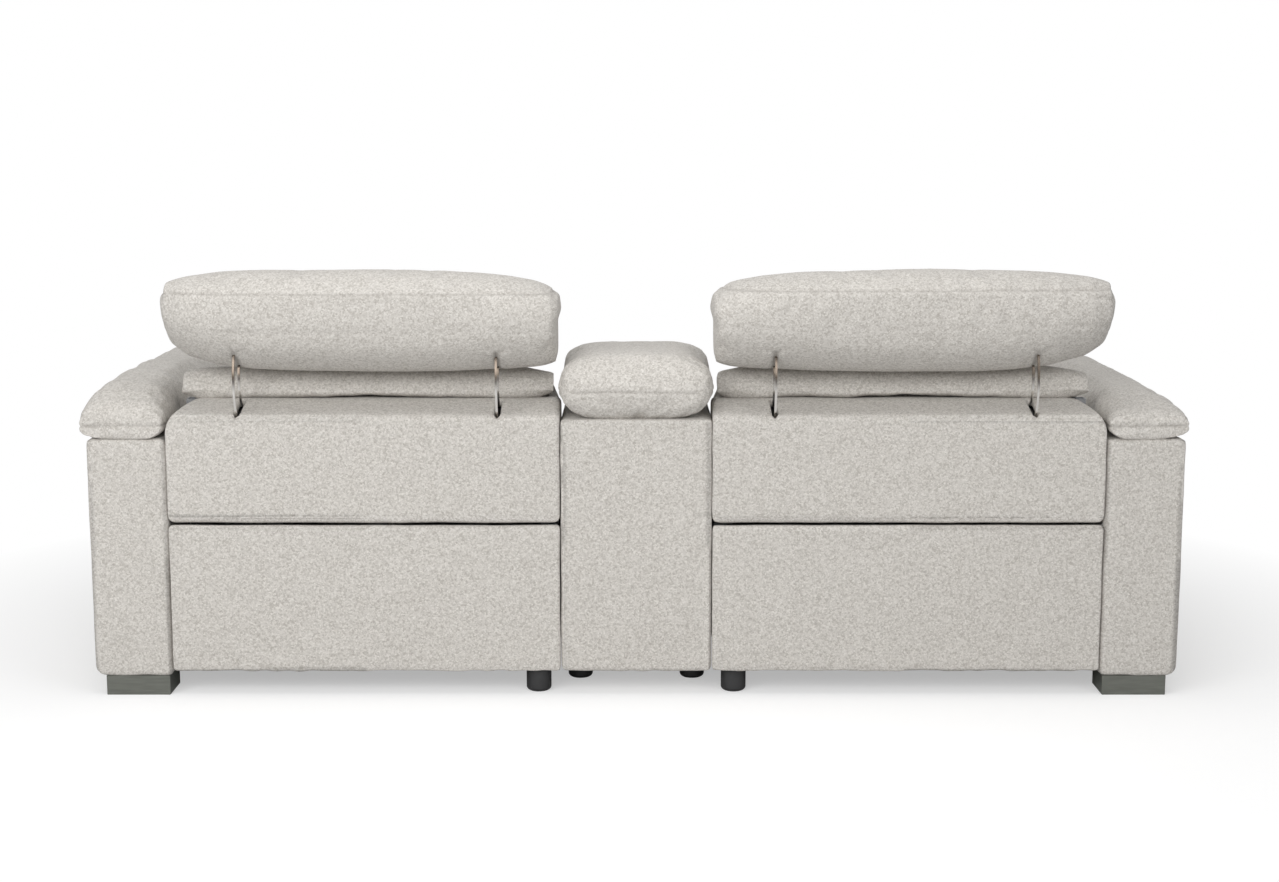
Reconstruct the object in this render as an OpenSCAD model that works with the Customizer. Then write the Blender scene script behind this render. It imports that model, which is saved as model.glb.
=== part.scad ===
// Two-seat reclining sofa in three modules, with a narrow padded console between the seats.
// +Z is up, the seats face -Y, and the sitter's left is +X. Millimetres throughout.
// The origin lies on the floor, at the middle of the whole outline.

/* [Modules] */
// Width of the console body between the seats
console_w = 308; // [290:1:340]
// Width of one seat module
seat_w = 798; // [740:1:860]
// Width of one arm body
arm_w = 160; // [140:1:200]
// Slit left between neighbouring modules
module_gap = 3; // [2:0.5:5]
// Depth of the arms, from the front face to the plane of the rear panels
body_depth = 940; // [900:1:1000]
// How far the raised headrest stands out behind the rear panels
headrest_over = 60; // [45:1:80]

/* [Arms] */
// Height of the arm body's underside
arm_under = 41; // [38:1:60]
// Height of the arm body's flat top
arm_top = 535; // [515:1:560]
// Radius of the arm's lower outer corner
arm_corner_r = 22; // [12:1:30]
// Radius of the arm's other long edges
arm_edge_r = 8; // [4:1:14]
// Height of the seam round the arm pad, over the arm's top
arm_seam_rise = 28; // [20:1:36]
// Height of the arm pad's crown over its seam
arm_crown_rise = 77; // [60:1:95]
// How far the arm pad stands out past the arm's outer side
arm_pad_over = 7; // [3:1:12]
// Length over which each end of the arm pad rounds down
arm_pad_round = 210; // [150:1:260]

/* [Console] */
// Height of the underside of the console and of the seat modules
under_clear = 51; // [48:1:70]
// Height of the console body's top
console_top = 575; // [560:1:590]
// Thickness of the console's panels
panel_t = 16; // [12:1:22]
// Radius of the console's upper rear corners
console_corner_r = 16; // [8:1:24]
// Width of the two console pads
console_pad_w = 318; // [290:1:320]
// Thickness of the console pads from underside to crown
console_pad_h = 128; // [100:1:140]
// How far the rear console pad stands out behind the rear panels
console_pad_over = 22; // [10:1:35]
// Length of the fixed rear console pad
rear_pad_l = 352; // [320:1:380]
// Height of the lid's padded crown over the console body
lid_h = 80; // [60:1:90]
// Length of the deck with the cup holders, ahead of the lid
deck_l = 241; // [225:1:260]
// Slit between the two console pads
pad_slit = 8; // [7:0.5:10]
// Bore of a cup holder
cup_bore = 74; // [66:1:84]
// Depth of a cup holder
cup_depth = 68; // [50:1:80]
// Depth of the storage bin below its rim
bin_depth = 250; // [180:1:300]

/* [Seat] */
// Height of the seat cushion's crown
seat_height = 478; // [460:1:500]
// Thickness of the seat cushion
seat_thick = 136; // [124:1:140]
// Distance from the seat's front to the face of the back cushion
seat_depth = 562; // [530:1:580]
// Height of the timber seat frame
seat_frame_h = 42; // [34:1:50]
// Thickness of the timber rails
rail_t = 22; // [18:1:28]
// Number of zigzag springs under each seat
spring_count = 5; // [4:1:7]
// Wire size of the zigzag springs
spring_wire = 3.8; // [3:0.1:4.5]

/* [Back] */
// Height of the lower edge of the moving back shell
shell_bottom = 361; // [350:1:380]
// Height of the soft crease at the shell's rear top edge
shell_crease = 582; // [570:1:600]
// Height of the shelf under the headrest
shelf_top = 604; // [595:1:620]
// Depth of the sloping part of the shelf
shelf_run = 90; // [70:1:110]
// Depth of the whole back shell
shell_depth = 140; // [125:1:150]
// Wall of the back shell
shell_wall = 14; // [10:1:18]
// Radius of the shell's lower rear edge
shell_low_r = 20; // [16:1:26]
// Radius of the shell's upper outer corner, seen from behind
shell_corner_r = 58; // [40:1:75]
// Gap between the shell and the fixed panel below it
split_gap = 5; // [4:0.5:7]
// Thickness of the fixed rear panel
rear_panel_t = 16; // [12:1:18]

/* [Headrest] */
// Gap from the headrest to the outer side of its seat module
headrest_side_gap = 5; // [4:1:12]
// Height of the headrest's turning axis at the neck
neck_axis_z = 652; // [645:1:665]
// Distance from the rear panels forward to that axis
neck_axis_in = 128; // [120:1:136]
// Radius of the inner curved bar about the neck axis
bar_inner_r = 75; // [70:1:84]
// Radius of the outer curved bar about the neck axis
bar_outer_r = 131; // [122:1:133]
// Size of a curved bar, both ways
bar_t = 5; // [4:0.5:6]
// Distance between the two hinges of one headrest
hinge_pitch = 530; // [480:1:560]
// How far a headrest's two hinges sit off its middle, towards the console
hinge_shift = 7; // [0:1:20]

/* [Footrest mechanism] */
// Length of the lower footrest link between its pins
lower_link_l = 190; // [180:1:192]
// Length of the rear footrest link between its pins
rear_link_l = 225; // [220:1:226]
// Length of the upper footrest link between its pins
upper_link_l = 250; // [235:1:260]
// Thickness of the steel links and side plates
link_t = 4; // [3:0.5:5]
// Width of the links
link_w = 24; // [20:1:28]
// Diameter of the link pins
pin_d = 10; // [8:0.5:12]
// How far the lower link's pin lies under the top of the seat frame
link_drop = 37; // [33:1:40]
// Height of the footrest board
footrest_h = 212; // [190:1:225]
// Thickness of the footrest pad
footrest_pad_t = 62; // [50:1:66]

/* [Feet] */
// Width of an arm's block foot
block_w = 132; // [110:1:140]
// Depth of an arm's block foot
block_d = 88; // [70:1:110]
// Diameter of a round plastic foot
round_foot_d = 52; // [44:1:60]

/* [Hidden] */
$fn = 48;

// Colours, as the photographed sofa shows them
fabric = [0.79, 0.77, 0.74];
gunmetal = [0.42, 0.42, 0.40];
black = [0.12, 0.12, 0.12];
steel = [0.45, 0.46, 0.48];
chrome = [0.78, 0.76, 0.72];
timber = [0.72, 0.58, 0.42];
spring_steel = [0.35, 0.36, 0.40];

// Clearances and the overrun that every cut shares
over = 1;
soft_gap = 0.4;
run_gap = 0.6;
pin_play = 0.05;
loop_play = 2;

// Places that the modules share
rear_y = (body_depth - headrest_over) / 2;
front_y = rear_y - body_depth;
console_x = console_w / 2;
seat_x0 = console_x + module_gap;
seat_x1 = seat_x0 + seat_w;
seat_mid = (seat_x0 + seat_x1) / 2;
arm_x0 = seat_x1 + module_gap;
arm_x1 = arm_x0 + arm_w;
panel_top = shell_bottom - split_gap;
frame_z1 = seat_height - seat_thick;

// Unit vector and the tangent rounding of a convex outline
function unit(v) = v / norm(v);
function at(list, i) = list[(i + len(list)) % len(list)];
function half_angle(a, p, b) = acos(unit(a - p) * unit(b - p)) / 2;
function tangent(p, q, r, h) = p + unit(q - p) * r / tan(h);

// A convex outline whose corners are rounded by true arcs
module soft_outline(pts, radii) {
  count = len(pts);
  polygon([
    for (i = [0 : count - 1], side = [-1, 1])
      tangent(pts[i], at(pts, i + side), radii[i], half_angle(at(pts, i - 1), pts[i], at(pts, i + 1)))
  ]);
  for (i = [0 : count - 1])
    translate(
      pts[i] + unit(unit(at(pts, i - 1) - pts[i]) + unit(at(pts, i + 1) - pts[i]))
        * radii[i] / sin(half_angle(at(pts, i - 1), pts[i], at(pts, i + 1)))
    )
      circle(r = radii[i]);
}

// A box between two corners
module block(low, high) {
  translate(low) cube(high - low);
}

// An outline drawn in Y and Z, pushed out along X
module along_x(x0, x1) {
  translate([x0, 0, 0]) rotate([90, 0, 90]) linear_extrude(x1 - x0) children();
}

// An outline drawn in X and Z, pushed out along Y
module along_y(y0, y1) {
  translate([0, y1, 0]) rotate([90, 0, 0]) linear_extrude(y1 - y0) children();
}

// A round bar or pin along X
module pin_x(x0, x1, y, z, d) {
  translate([x0, y, z]) rotate([0, 90, 0]) cylinder(h = x1 - x0, d = d);
}

// A round bar or pin along Y
module pin_y(y0, y1, x, z, d) {
  translate([x, y1, z]) rotate([90, 0, 0]) cylinder(h = y1 - y0, d = d);
}

// The same piece on the sitter's right
module right_hand() {
  mirror([1, 0, 0]) children();
}

// A flat bar with wider round ends between two points in Y and Z
web_share = 0.84;
module bar(p, q, w) {
  translate(p) circle(d = w);
  translate(q) circle(d = w);
  translate(p)
    rotate(atan2(q[1] - p[1], q[0] - p[0]))
      translate([0, -w * web_share / 2])
        square([norm(q - p), w * web_share]);
}

// Soft pieces are lofts: a row of closed rings with equal counts of points
module loft(rings) {
  n = len(rings[0]);
  m = len(rings);
  polyhedron(
    points = [for (ring = rings) each ring],
    faces = [
      [for (k = [0 : n - 1]) k],
      for (i = [0 : m - 2], k = [0 : n - 1]) each [
        [i * n + k, (i + 1) * n + (k + 1) % n, i * n + (k + 1) % n],
        [i * n + k, (i + 1) * n + k, (i + 1) * n + (k + 1) % n]
      ],
      [for (k = [n - 1 : -1 : 0]) (m - 1) * n + k]
    ]
  );
}

// Share of full size at place u from -1 to 1 along a pillow, rounding off at both ends
function swell(u, power) = pow(1 - pow(abs(u), power), 1 / power);
// Stations along a pillow from -1 to 1, closer together towards its ends
function station(i, count) = -cos(180 * i / (count - 1));
// A power that keeps the sign
function signed(v, power) = sign(v) * pow(abs(v), power);
// Share of full size at a distance from an end that rounds off over a length
function rounding(distance, length, blunt_share) =
  blunt_share + (1 - blunt_share) * sqrt(1 - pow(1 - min(distance / length, 1), 2));
// Shares of rise, width and drop at y, where each end is [y, rounding lengths, shares left there]
function end_shares(y, ends) = [
  for (k = [0 : 2])
    min([for (e = ends) rounding(abs(y - e[0]), e[1][k], e[2][k])])
];

// A pad along Y with a seam round its side, crowned above and flat below
flat_share = 1.15;
function pad_ring(y, x0, x1, seam_z, rise, drop, ends, square_shares, points) =
  let (k = end_shares(y, ends))
  [
    for (j = [0 : points - 1])
      let (
        a = 360 * j / points,
        share = square_shares[sin(a) < 0 ? 1 : 0],
        c = signed(cos(a), share),
        s = signed(sin(a), share)
      )
      [
        (x0 + x1) / 2 + c * k[1] * (x1 - x0) / 2,
        y,
        seam_z + (s > 0 ? s * k[0] * rise : max(s * flat_share, -1) * k[2] * drop)
      ]
  ];
module pad_along_y(x0, x1, seam_z, rise, drop, ends, square_shares, stations, points) {
  loft([
    for (i = [0 : stations - 1])
      pad_ring(
        (ends[0][0] + ends[1][0]) / 2 - station(i, stations) * (ends[0][0] - ends[1][0]) / 2,
        x0, x1, seam_z, rise, drop, ends, square_shares, points
      )
  ]);
}

// A pillow whose section is any closed outline in Y and Z, drawn towards a heart at its two ends.
// Each end is [heart, shares of depth and height left there, powers of the rounding].
module shaped_pillow(x0, x1, outline, ends, stations) {
  loft([
    for (i = [0 : stations - 1])
      let (
        u = station(i, stations),
        end = ends[u < 0 ? 0 : 1],
        ky = end[1][0] + (1 - end[1][0]) * swell(u, end[2][0]),
        kz = end[1][1] + (1 - end[1][1]) * swell(u, end[2][1])
      )
      [
        for (p = outline)
          [
            (x0 + x1) / 2 + u * (x1 - x0) / 2,
            end[0][0] + (p[0] - end[0][0]) * ky,
            end[0][1] + (p[1] - end[0][1]) * kz
          ]
      ]
  ]);
}

// A closed smooth outline through corner points, by cutting each corner a quarter of the way
function bend(pts, depth) =
  depth == 0 ? pts
  : bend([
      for (i = [0 : len(pts) - 1]) each [
        (3 * pts[i] + at(pts, i + 1)) / 4,
        (pts[i] + 3 * at(pts, i + 1)) / 4
      ]
    ], depth - 1);

// Arms: a closed upholstered body with a pocket for the switch in its inner face
arm_pad_nose = 10;
arm_front = front_y + arm_pad_nose;
switch_in = 215;
switch_drop = 28;
switch_l = 78;
switch_h = 30;
switch_proud = 2;
switch_flange = 3;
switch_pocket = 14;
rocker_l = 46;
rocker_h = 18;
rocker_proud = 2.4;
rocker_mid_proud = 0.6;
rocker_depth = 8;
rocker_gap = 0.8;
rocker_sink = 2.6;
rocker_pin_d = 3;
rocker_pin_end = 2;
rocker_pin_in = 4.5;
switch_y = front_y + switch_in;
switch_z = arm_top - switch_drop;
switch_wall_x = arm_x0 - switch_proud;
rocker_axis_x = switch_wall_x + rocker_pin_in;

module arm_shell() {
  color(fabric)
    difference() {
      intersection() {
        along_y(arm_front, rear_y)
          soft_outline(
            [[arm_x0, arm_under], [arm_x1, arm_under], [arm_x1, arm_top], [arm_x0, arm_top]],
            [arm_edge_r, arm_corner_r, arm_edge_r, arm_edge_r]
          );
        translate([0, 0, arm_under - over])
          linear_extrude(arm_top - arm_under + 2 * over)
            soft_outline(
              [[arm_x0, arm_front], [arm_x1, arm_front], [arm_x1, rear_y], [arm_x0, rear_y]],
              [arm_edge_r, arm_corner_r, arm_edge_r, arm_edge_r]
            );
      }
      block(
        [arm_x0 - over, switch_y - switch_l / 2, switch_z - switch_h / 2],
        [arm_x0 + switch_pocket, switch_y + switch_l / 2, switch_z + switch_h / 2]
      );
    }
}
module arm_shell_left() { arm_shell(); }
module arm_shell_right() { right_hand() arm_shell(); }

// The pad over an arm: flat below, a seam low on its side, and a long crown
arm_pad_rear_over = 6;
arm_pad_rear = rear_y + arm_pad_rear_over;
arm_pad_side_r = 28;
arm_pad_end_share = 0.24;
arm_pad_side_share = 0.92;
whole_share = 1;
arm_pad_square_shares = [0.62, 0.70];
arm_pad_stations = 18;
arm_pad_points = 20;
arm_pad_rounds = [arm_pad_round, arm_pad_side_r, arm_pad_side_r];
arm_pad_shares = [arm_pad_end_share, arm_pad_side_share, whole_share];
module arm_pad() {
  color(fabric)
    pad_along_y(
      arm_x0, arm_x1 + arm_pad_over, arm_top + arm_seam_rise, arm_crown_rise, arm_seam_rise - soft_gap,
      [[arm_pad_rear, arm_pad_rounds, arm_pad_shares], [front_y, arm_pad_rounds, arm_pad_shares]],
      arm_pad_square_shares, arm_pad_stations, arm_pad_points
    );
}
module arm_pad_left() { arm_pad(); }
module arm_pad_right() { right_hand() arm_pad(); }

// Feet: plain metal blocks under the arms, round plastic feet under the seats and the console
block_inset = 6;
block_edge_r = 2;
block_top_r = 1;
block_rear_inset = 2;
block_x0 = arm_x0 + block_inset;
round_foot_edge_r = 8;
round_foot_in = 46;
round_foot_rear = 46;
round_foot_front = 320;
console_foot_in = 119;
console_foot_rear = 150;
console_foot_front = 150;
foot_neck_d = 40;
foot_washer_h = 3;

module block_foot(y0) {
  intersection() {
    along_y(y0, y0 + block_d)
      soft_outline(
        [[block_x0, 0], [block_x0 + block_w, 0], [block_x0 + block_w, arm_under], [block_x0, arm_under]],
        [block_edge_r, block_edge_r, block_top_r, block_top_r]
      );
    translate([0, 0, -over])
      linear_extrude(arm_under + 2 * over)
        soft_outline(
          [
            [block_x0, y0], [block_x0 + block_w, y0],
            [block_x0 + block_w, y0 + block_d], [block_x0, y0 + block_d]
          ],
          [block_edge_r, block_edge_r, block_edge_r, block_edge_r]
        );
  }
}
module block_feet() {
  color(gunmetal)
    for (side = [0, 1])
      mirror([side, 0, 0]) {
        block_foot(rear_y - block_rear_inset - block_d);
        block_foot(arm_front + arm_corner_r);
      }
}

module round_foot(x, y) {
  translate([x, y, 0])
    rotate_extrude()
      union() {
        square([round_foot_d / 2 - round_foot_edge_r, under_clear - foot_washer_h]);
        translate([0, round_foot_edge_r])
          square([round_foot_d / 2, under_clear - foot_washer_h - round_foot_edge_r]);
        translate([round_foot_d / 2 - round_foot_edge_r, round_foot_edge_r])
          circle(r = round_foot_edge_r);
        square([foot_neck_d / 2, under_clear]);
      }
}
module round_feet() {
  color(black)
    for (side = [0, 1])
      mirror([side, 0, 0]) {
        round_foot(seat_x0 + round_foot_in, rear_y - round_foot_rear);
        round_foot(seat_x0 + round_foot_in, front_y + round_foot_front);
        round_foot(console_foot_in, rear_y - console_foot_rear);
        round_foot(console_foot_in, front_y + console_foot_front);
      }
}

// The fixed lower rear panel of a seat, upholstered, with soft edges
rear_panel_edge_r = 6;
rear_panel_low_r = 7.5;
module rear_panel() {
  color(fabric)
    intersection() {
      along_x(seat_x0, seat_x1)
        soft_outline(
          [
            [rear_y - rear_panel_t, under_clear], [rear_y, under_clear],
            [rear_y, panel_top], [rear_y - rear_panel_t, panel_top]
          ],
          [block_edge_r, rear_panel_low_r, rear_panel_low_r, rear_panel_edge_r]
        );
      along_y(rear_y - rear_panel_t - over, rear_y + over)
        soft_outline(
          [[seat_x0, under_clear], [seat_x1, under_clear], [seat_x1, panel_top], [seat_x0, panel_top]],
          [rear_panel_edge_r, rear_panel_edge_r, rear_panel_edge_r, rear_panel_edge_r]
        );
    }
}
module rear_panel_left() { rear_panel(); }
module rear_panel_right() { right_hand() rear_panel(); }

// Steel base: pressed side channels that the seat rolls on, cross tubes and spacer sleeves
channel_inset = 7;
channel_w = 22;
channel_t = 3;
foot_plate_h = 13;
plate_h = 106;
channel_front_in = 100;
channel_z0 = under_clear + foot_plate_h;
channel_z1 = frame_z1 - plate_h;
channel_front = front_y + channel_front_in;
channel_rear = rear_y - rear_panel_t;
channel_x0 = seat_x0 + channel_inset;
channel_x1 = seat_x1 - channel_inset;
cross_tube_d = 28;
cross_tube_t = 2;
cross_tube_rise = 28;
cross_tube_rear_in = 44;
cross_tube_mid_in = 440;
cross_tube_z = channel_z0 + cross_tube_rise;
cross_tube_rear_y = rear_y - cross_tube_rear_in;
cross_tube_mid_y = front_y + cross_tube_mid_in;
lighten_d = 70;
lighten_count = 5;
lighten_first = 110;
lighten_pitch = (channel_rear - channel_front - 2 * lighten_first) / (lighten_count - 1);
sleeve_d = 32;
sleeve_in = 150;
sleeve_z = (channel_z0 + channel_z1) / 2;

// One side channel: a web and two flanges that point towards the neighbour module
module side_channel(x_web, flange) {
  difference() {
    union() {
      block([x_web, channel_front, channel_z0], [x_web + channel_t, channel_rear, channel_z1]);
      for (z = [channel_z0, channel_z1 - channel_t])
        block(
          [min(x_web, x_web + channel_t - flange), channel_front, z],
          [max(x_web + channel_t, x_web - flange), channel_rear, z + channel_t]
        );
    }
    for (i = [0 : lighten_count - 1])
      pin_x(
        x_web - over, x_web + channel_t + over,
        channel_front + lighten_first + i * lighten_pitch, sleeve_z, lighten_d
      );
  }
}
module base_rails() {
  color(steel)
    for (side = [0, 1])
      mirror([side, 0, 0]) {
        side_channel(channel_x0 + channel_w - channel_t, channel_w);
        side_channel(channel_x1 - channel_w, -channel_w);
      }
}

// Cross tubes between the channels, and sleeves that bolt the modules together
module base_tubes() {
  color(steel)
    for (side = [0, 1])
      mirror([side, 0, 0]) {
        for (y = [cross_tube_mid_y, cross_tube_rear_y])
          difference() {
            pin_x(channel_x0 + channel_w, channel_x1 - channel_w, y, cross_tube_z, cross_tube_d);
            pin_x(
              channel_x0 + channel_w - over, channel_x1 - channel_w + over,
              y, cross_tube_z, cross_tube_d - 2 * cross_tube_t
            );
          }
        for (y = [channel_front + sleeve_d, channel_rear - sleeve_in]) {
          pin_x(console_x, channel_x0 + channel_w - channel_t, y, sleeve_z, sleeve_d);
          pin_x(channel_x1 - channel_w + channel_t, arm_x0, y, sleeve_z, sleeve_d);
        }
      }
}

// Plates that carry the seats' round feet
module foot_plates() {
  color(steel)
    for (side = [0, 1])
      mirror([side, 0, 0])
        for (y = [rear_y - round_foot_rear, front_y + round_foot_front])
          block(
            [seat_x0 + round_foot_in - round_foot_d / 2, y - round_foot_d / 2, under_clear],
            [seat_x0 + round_foot_in + round_foot_d / 2, y + round_foot_d / 2, channel_z0]
          );
}

// Places of the console lid and its hinge, which lies at the top of the slit between the pads
lid_axis_drop = 4;
hinge_d = 6;
hinge_pin_d = 3;
hinge_half = 110;
hinge_mid_half = 40;
hinge_leaf_t = 1.5;
hinge_leaf_drop = 14;
lid_axis_y = rear_y + console_pad_over - rear_pad_l - pad_slit / 2;
lid_axis_z = console_top + lid_h - lid_axis_drop;
leaf_z1 = lid_axis_z - hinge_d / 2 - run_gap;
lid_rear = lid_axis_y - pad_slit / 2;

// Console body: rear, front, sides, floor and the closed deck under the rear pad
console_front_in = 26;
console_edge_r = 6;
console_floor_t = 40;
console_front = front_y + console_front_in;
lid_front = console_front + deck_l;
console_floor_z = under_clear + console_floor_t;
deck_front = lid_axis_y + hinge_d / 2;
bin_x = console_x - panel_t - soft_gap;
bin_rim_t = 4;
bin_wall = 3;
bin_side_in = 4;
bin_front_in = 24;
bin_rear_in = 30;
bin_corner_r = 14;
bin_y0 = lid_front + bin_front_in;
bin_y1 = lid_axis_y - bin_rear_in;
cup_pitch = 98;
cup_wall = 1.5;
cup_seat_gap = 0.5;
cup_lip = 6;
cup_lip_t = 2.5;
deck_mid = (console_front + panel_t + bin_y0 - bin_wall) / 2;
cup_y = [deck_mid + cup_pitch / 2, deck_mid - cup_pitch / 2];

module console_shell() {
  color(fabric)
    difference() {
      intersection() {
        along_y(console_front, rear_y)
          soft_outline(
            [
              [-console_x, under_clear], [console_x, under_clear],
              [console_x, console_top], [-console_x, console_top]
            ],
            [console_edge_r, console_edge_r, console_edge_r, console_edge_r]
          );
        translate([0, 0, under_clear - over])
          linear_extrude(console_top - under_clear + 2 * over)
            soft_outline(
              [
                [-console_x, console_front], [console_x, console_front],
                [console_x, rear_y], [-console_x, rear_y]
              ],
              [console_corner_r, console_corner_r, console_edge_r, console_edge_r]
            );
      }
      block(
        [-console_x + panel_t, console_front + panel_t, console_floor_z],
        [console_x - panel_t, deck_front, console_top + over]
      );
      block(
        [-console_x + panel_t, deck_front - over, console_floor_z],
        [console_x - panel_t, rear_y - panel_t, console_top - panel_t]
      );
    }
}

// Moulded liner: a storage bin under the lid and a deck with two cup bores ahead of it
module bin_outline(inset) {
  soft_outline(
    [
      [-bin_x + bin_side_in + inset, bin_y0 - bin_wall + inset],
      [bin_x - bin_side_in - inset, bin_y0 - bin_wall + inset],
      [bin_x - bin_side_in - inset, bin_y1 + bin_wall - inset],
      [-bin_x + bin_side_in + inset, bin_y1 + bin_wall - inset]
    ],
    [bin_corner_r, bin_corner_r, bin_corner_r, bin_corner_r]
  );
}
module console_bin() {
  color(black)
    difference() {
      union() {
        block(
          [-bin_x, console_front + panel_t + soft_gap, console_top - bin_rim_t],
          [bin_x, deck_front - hinge_leaf_t - soft_gap, console_top]
        );
        translate([0, 0, console_top - bin_depth])
          linear_extrude(bin_depth - bin_rim_t) bin_outline(0);
      }
      translate([0, 0, console_top - bin_depth + bin_wall])
        linear_extrude(bin_depth) bin_outline(bin_wall);
      for (y = cup_y)
        translate([0, y, console_top - bin_rim_t - over])
          cylinder(h = bin_rim_t + 2 * over, d = cup_bore + 2 * cup_wall + 2 * cup_seat_gap);
    }
}

// Two pressed steel cups with rolled rims, dropped into the deck
module cup() {
  rotate_extrude()
    union() {
      translate([0, -cup_depth]) square([cup_bore / 2 + cup_wall, cup_wall]);
      translate([cup_bore / 2, -cup_depth]) square([cup_wall, cup_depth + cup_lip_t]);
      translate([cup_bore / 2, 0]) square([cup_lip, cup_lip_t]);
      translate([cup_bore / 2 + cup_lip, cup_lip_t / 2]) circle(d = cup_lip_t);
    }
}
module cup_holders() {
  color(chrome)
    for (y = cup_y)
      translate([0, y, console_top]) cup();
}

// Console pads: a fixed one at the rear, and one on the lid ahead of it
pad_seam_share = 0.45;
pad_square_shares = [0.50, 0.75];
pad_stations = 16;
pad_points = 20;
pad_round_r = 75;
pad_side_r = 60;
pad_low_r = 40;
pad_slit_r = 14;
pad_end_shares = [0.3, 0.79, 0.35];
pad_slit_shares = [0.85, 0.97, 0.9];
pad_end_rounds = [pad_round_r, pad_side_r, pad_low_r];
pad_slit_rounds = [pad_slit_r, pad_slit_r, pad_slit_r];
console_pad_drop = console_pad_h * pad_seam_share;
console_pad_rise = console_pad_h - console_pad_drop;
console_seam_z = console_top + console_pad_drop;
module console_rear_pad() {
  color(fabric)
    pad_along_y(
      -console_pad_w / 2, console_pad_w / 2, console_seam_z, console_pad_rise, console_pad_drop - soft_gap,
      [
        [rear_y + console_pad_over, pad_end_rounds, pad_end_shares],
        [lid_axis_y + pad_slit / 2, pad_slit_rounds, pad_slit_shares]
      ],
      pad_square_shares, pad_stations, pad_points
    );
}

// Lid: a board under the armrest pad, carried by a tall hinge leaf at its rear edge
lid_board_t = 12;
lid_side_in = 6;
lid_front_in = 14;
lid_corner_r = 20;
lid_gap = 0.5;
module lid_board() {
  color(timber)
    translate([0, 0, console_top + lid_gap])
      linear_extrude(lid_board_t)
        soft_outline(
          [
            [-console_x + lid_side_in, lid_front + lid_front_in],
            [console_x - lid_side_in, lid_front + lid_front_in],
            [console_x - lid_side_in, lid_axis_y - hinge_d / 2],
            [-console_x + lid_side_in, lid_axis_y - hinge_d / 2]
          ],
          [lid_corner_r, lid_corner_r, block_edge_r, block_edge_r]
        );
}
module lid_leaf() {
  color(steel)
    difference() {
      union() {
        block(
          [-hinge_half, lid_axis_y - hinge_d / 2, console_top + lid_gap],
          [hinge_half, lid_axis_y - hinge_d / 2 + hinge_leaf_t, leaf_z1]
        );
        for (side = [0, 1])
          mirror([side, 0, 0]) {
            block(
              [hinge_mid_half + run_gap, lid_axis_y - hinge_d / 2, leaf_z1],
              [hinge_half, lid_axis_y - hinge_d / 2 + hinge_leaf_t, lid_axis_z]
            );
            pin_x(hinge_mid_half + run_gap, hinge_half, lid_axis_y, lid_axis_z, hinge_d);
          }
      }
      pin_x(-hinge_half - over, hinge_half + over, lid_axis_y, lid_axis_z, hinge_pin_d + 2 * pin_play);
    }
}
module lid_hinge() {
  color(steel) {
    block(
      [-hinge_half, deck_front - hinge_leaf_t, console_top - hinge_leaf_drop],
      [hinge_half, deck_front, leaf_z1]
    );
    block([-hinge_mid_half, deck_front - hinge_leaf_t, leaf_z1], [hinge_mid_half, deck_front, lid_axis_z]);
    pin_x(-hinge_mid_half, hinge_mid_half, lid_axis_y, lid_axis_z, hinge_d);
    pin_x(-hinge_half, hinge_half, lid_axis_y, lid_axis_z, hinge_pin_d);
  }
}
lid_pad_z0 = console_top + lid_gap + lid_board_t + soft_gap;
lid_pad_drop = (console_top + lid_h - lid_pad_z0) * pad_seam_share;
lid_pad_rise = console_top + lid_h - lid_pad_z0 - lid_pad_drop;
module lid_pad() {
  color(fabric)
    pad_along_y(
      -console_pad_w / 2, console_pad_w / 2, lid_pad_z0 + lid_pad_drop, lid_pad_rise, lid_pad_drop,
      [
        [lid_rear, pad_slit_rounds, pad_slit_shares],
        [lid_front, pad_end_rounds, pad_end_shares]
      ],
      pad_square_shares, pad_stations, pad_points
    );
}

// Recline switch: a frame let into the arm's inner face, and a rocker in it
module pin_upright(half, d) {
  translate([rocker_axis_x, switch_y, switch_z - half]) cylinder(h = 2 * half, d = d);
}
module switch_plate() {
  difference() {
    union() {
      block(
        [arm_x0, switch_y - switch_l / 2 + soft_gap, switch_z - switch_h / 2 + soft_gap],
        [
          arm_x0 + switch_pocket - soft_gap,
          switch_y + switch_l / 2 - soft_gap, switch_z + switch_h / 2 - soft_gap
        ]
      );
      along_x(switch_wall_x, arm_x0)
        soft_outline(
          [
            [switch_y - switch_l / 2 - switch_flange, switch_z - switch_h / 2 - switch_flange],
            [switch_y + switch_l / 2 + switch_flange, switch_z - switch_h / 2 - switch_flange],
            [switch_y + switch_l / 2 + switch_flange, switch_z + switch_h / 2 + switch_flange],
            [switch_y - switch_l / 2 - switch_flange, switch_z + switch_h / 2 + switch_flange]
          ],
          [switch_flange, switch_flange, switch_flange, switch_flange]
        );
    }
    block(
      [
        switch_wall_x - over,
        switch_y - rocker_l / 2 - rocker_gap, switch_z - rocker_h / 2 - rocker_gap
      ],
      [
        switch_wall_x + rocker_depth + rocker_gap,
        switch_y + rocker_l / 2 + rocker_gap, switch_z + rocker_h / 2 + rocker_gap
      ]
    );
    pin_upright(rocker_h / 2 + rocker_gap + rocker_pin_end, rocker_pin_d + 2 * pin_play);
  }
}
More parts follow.
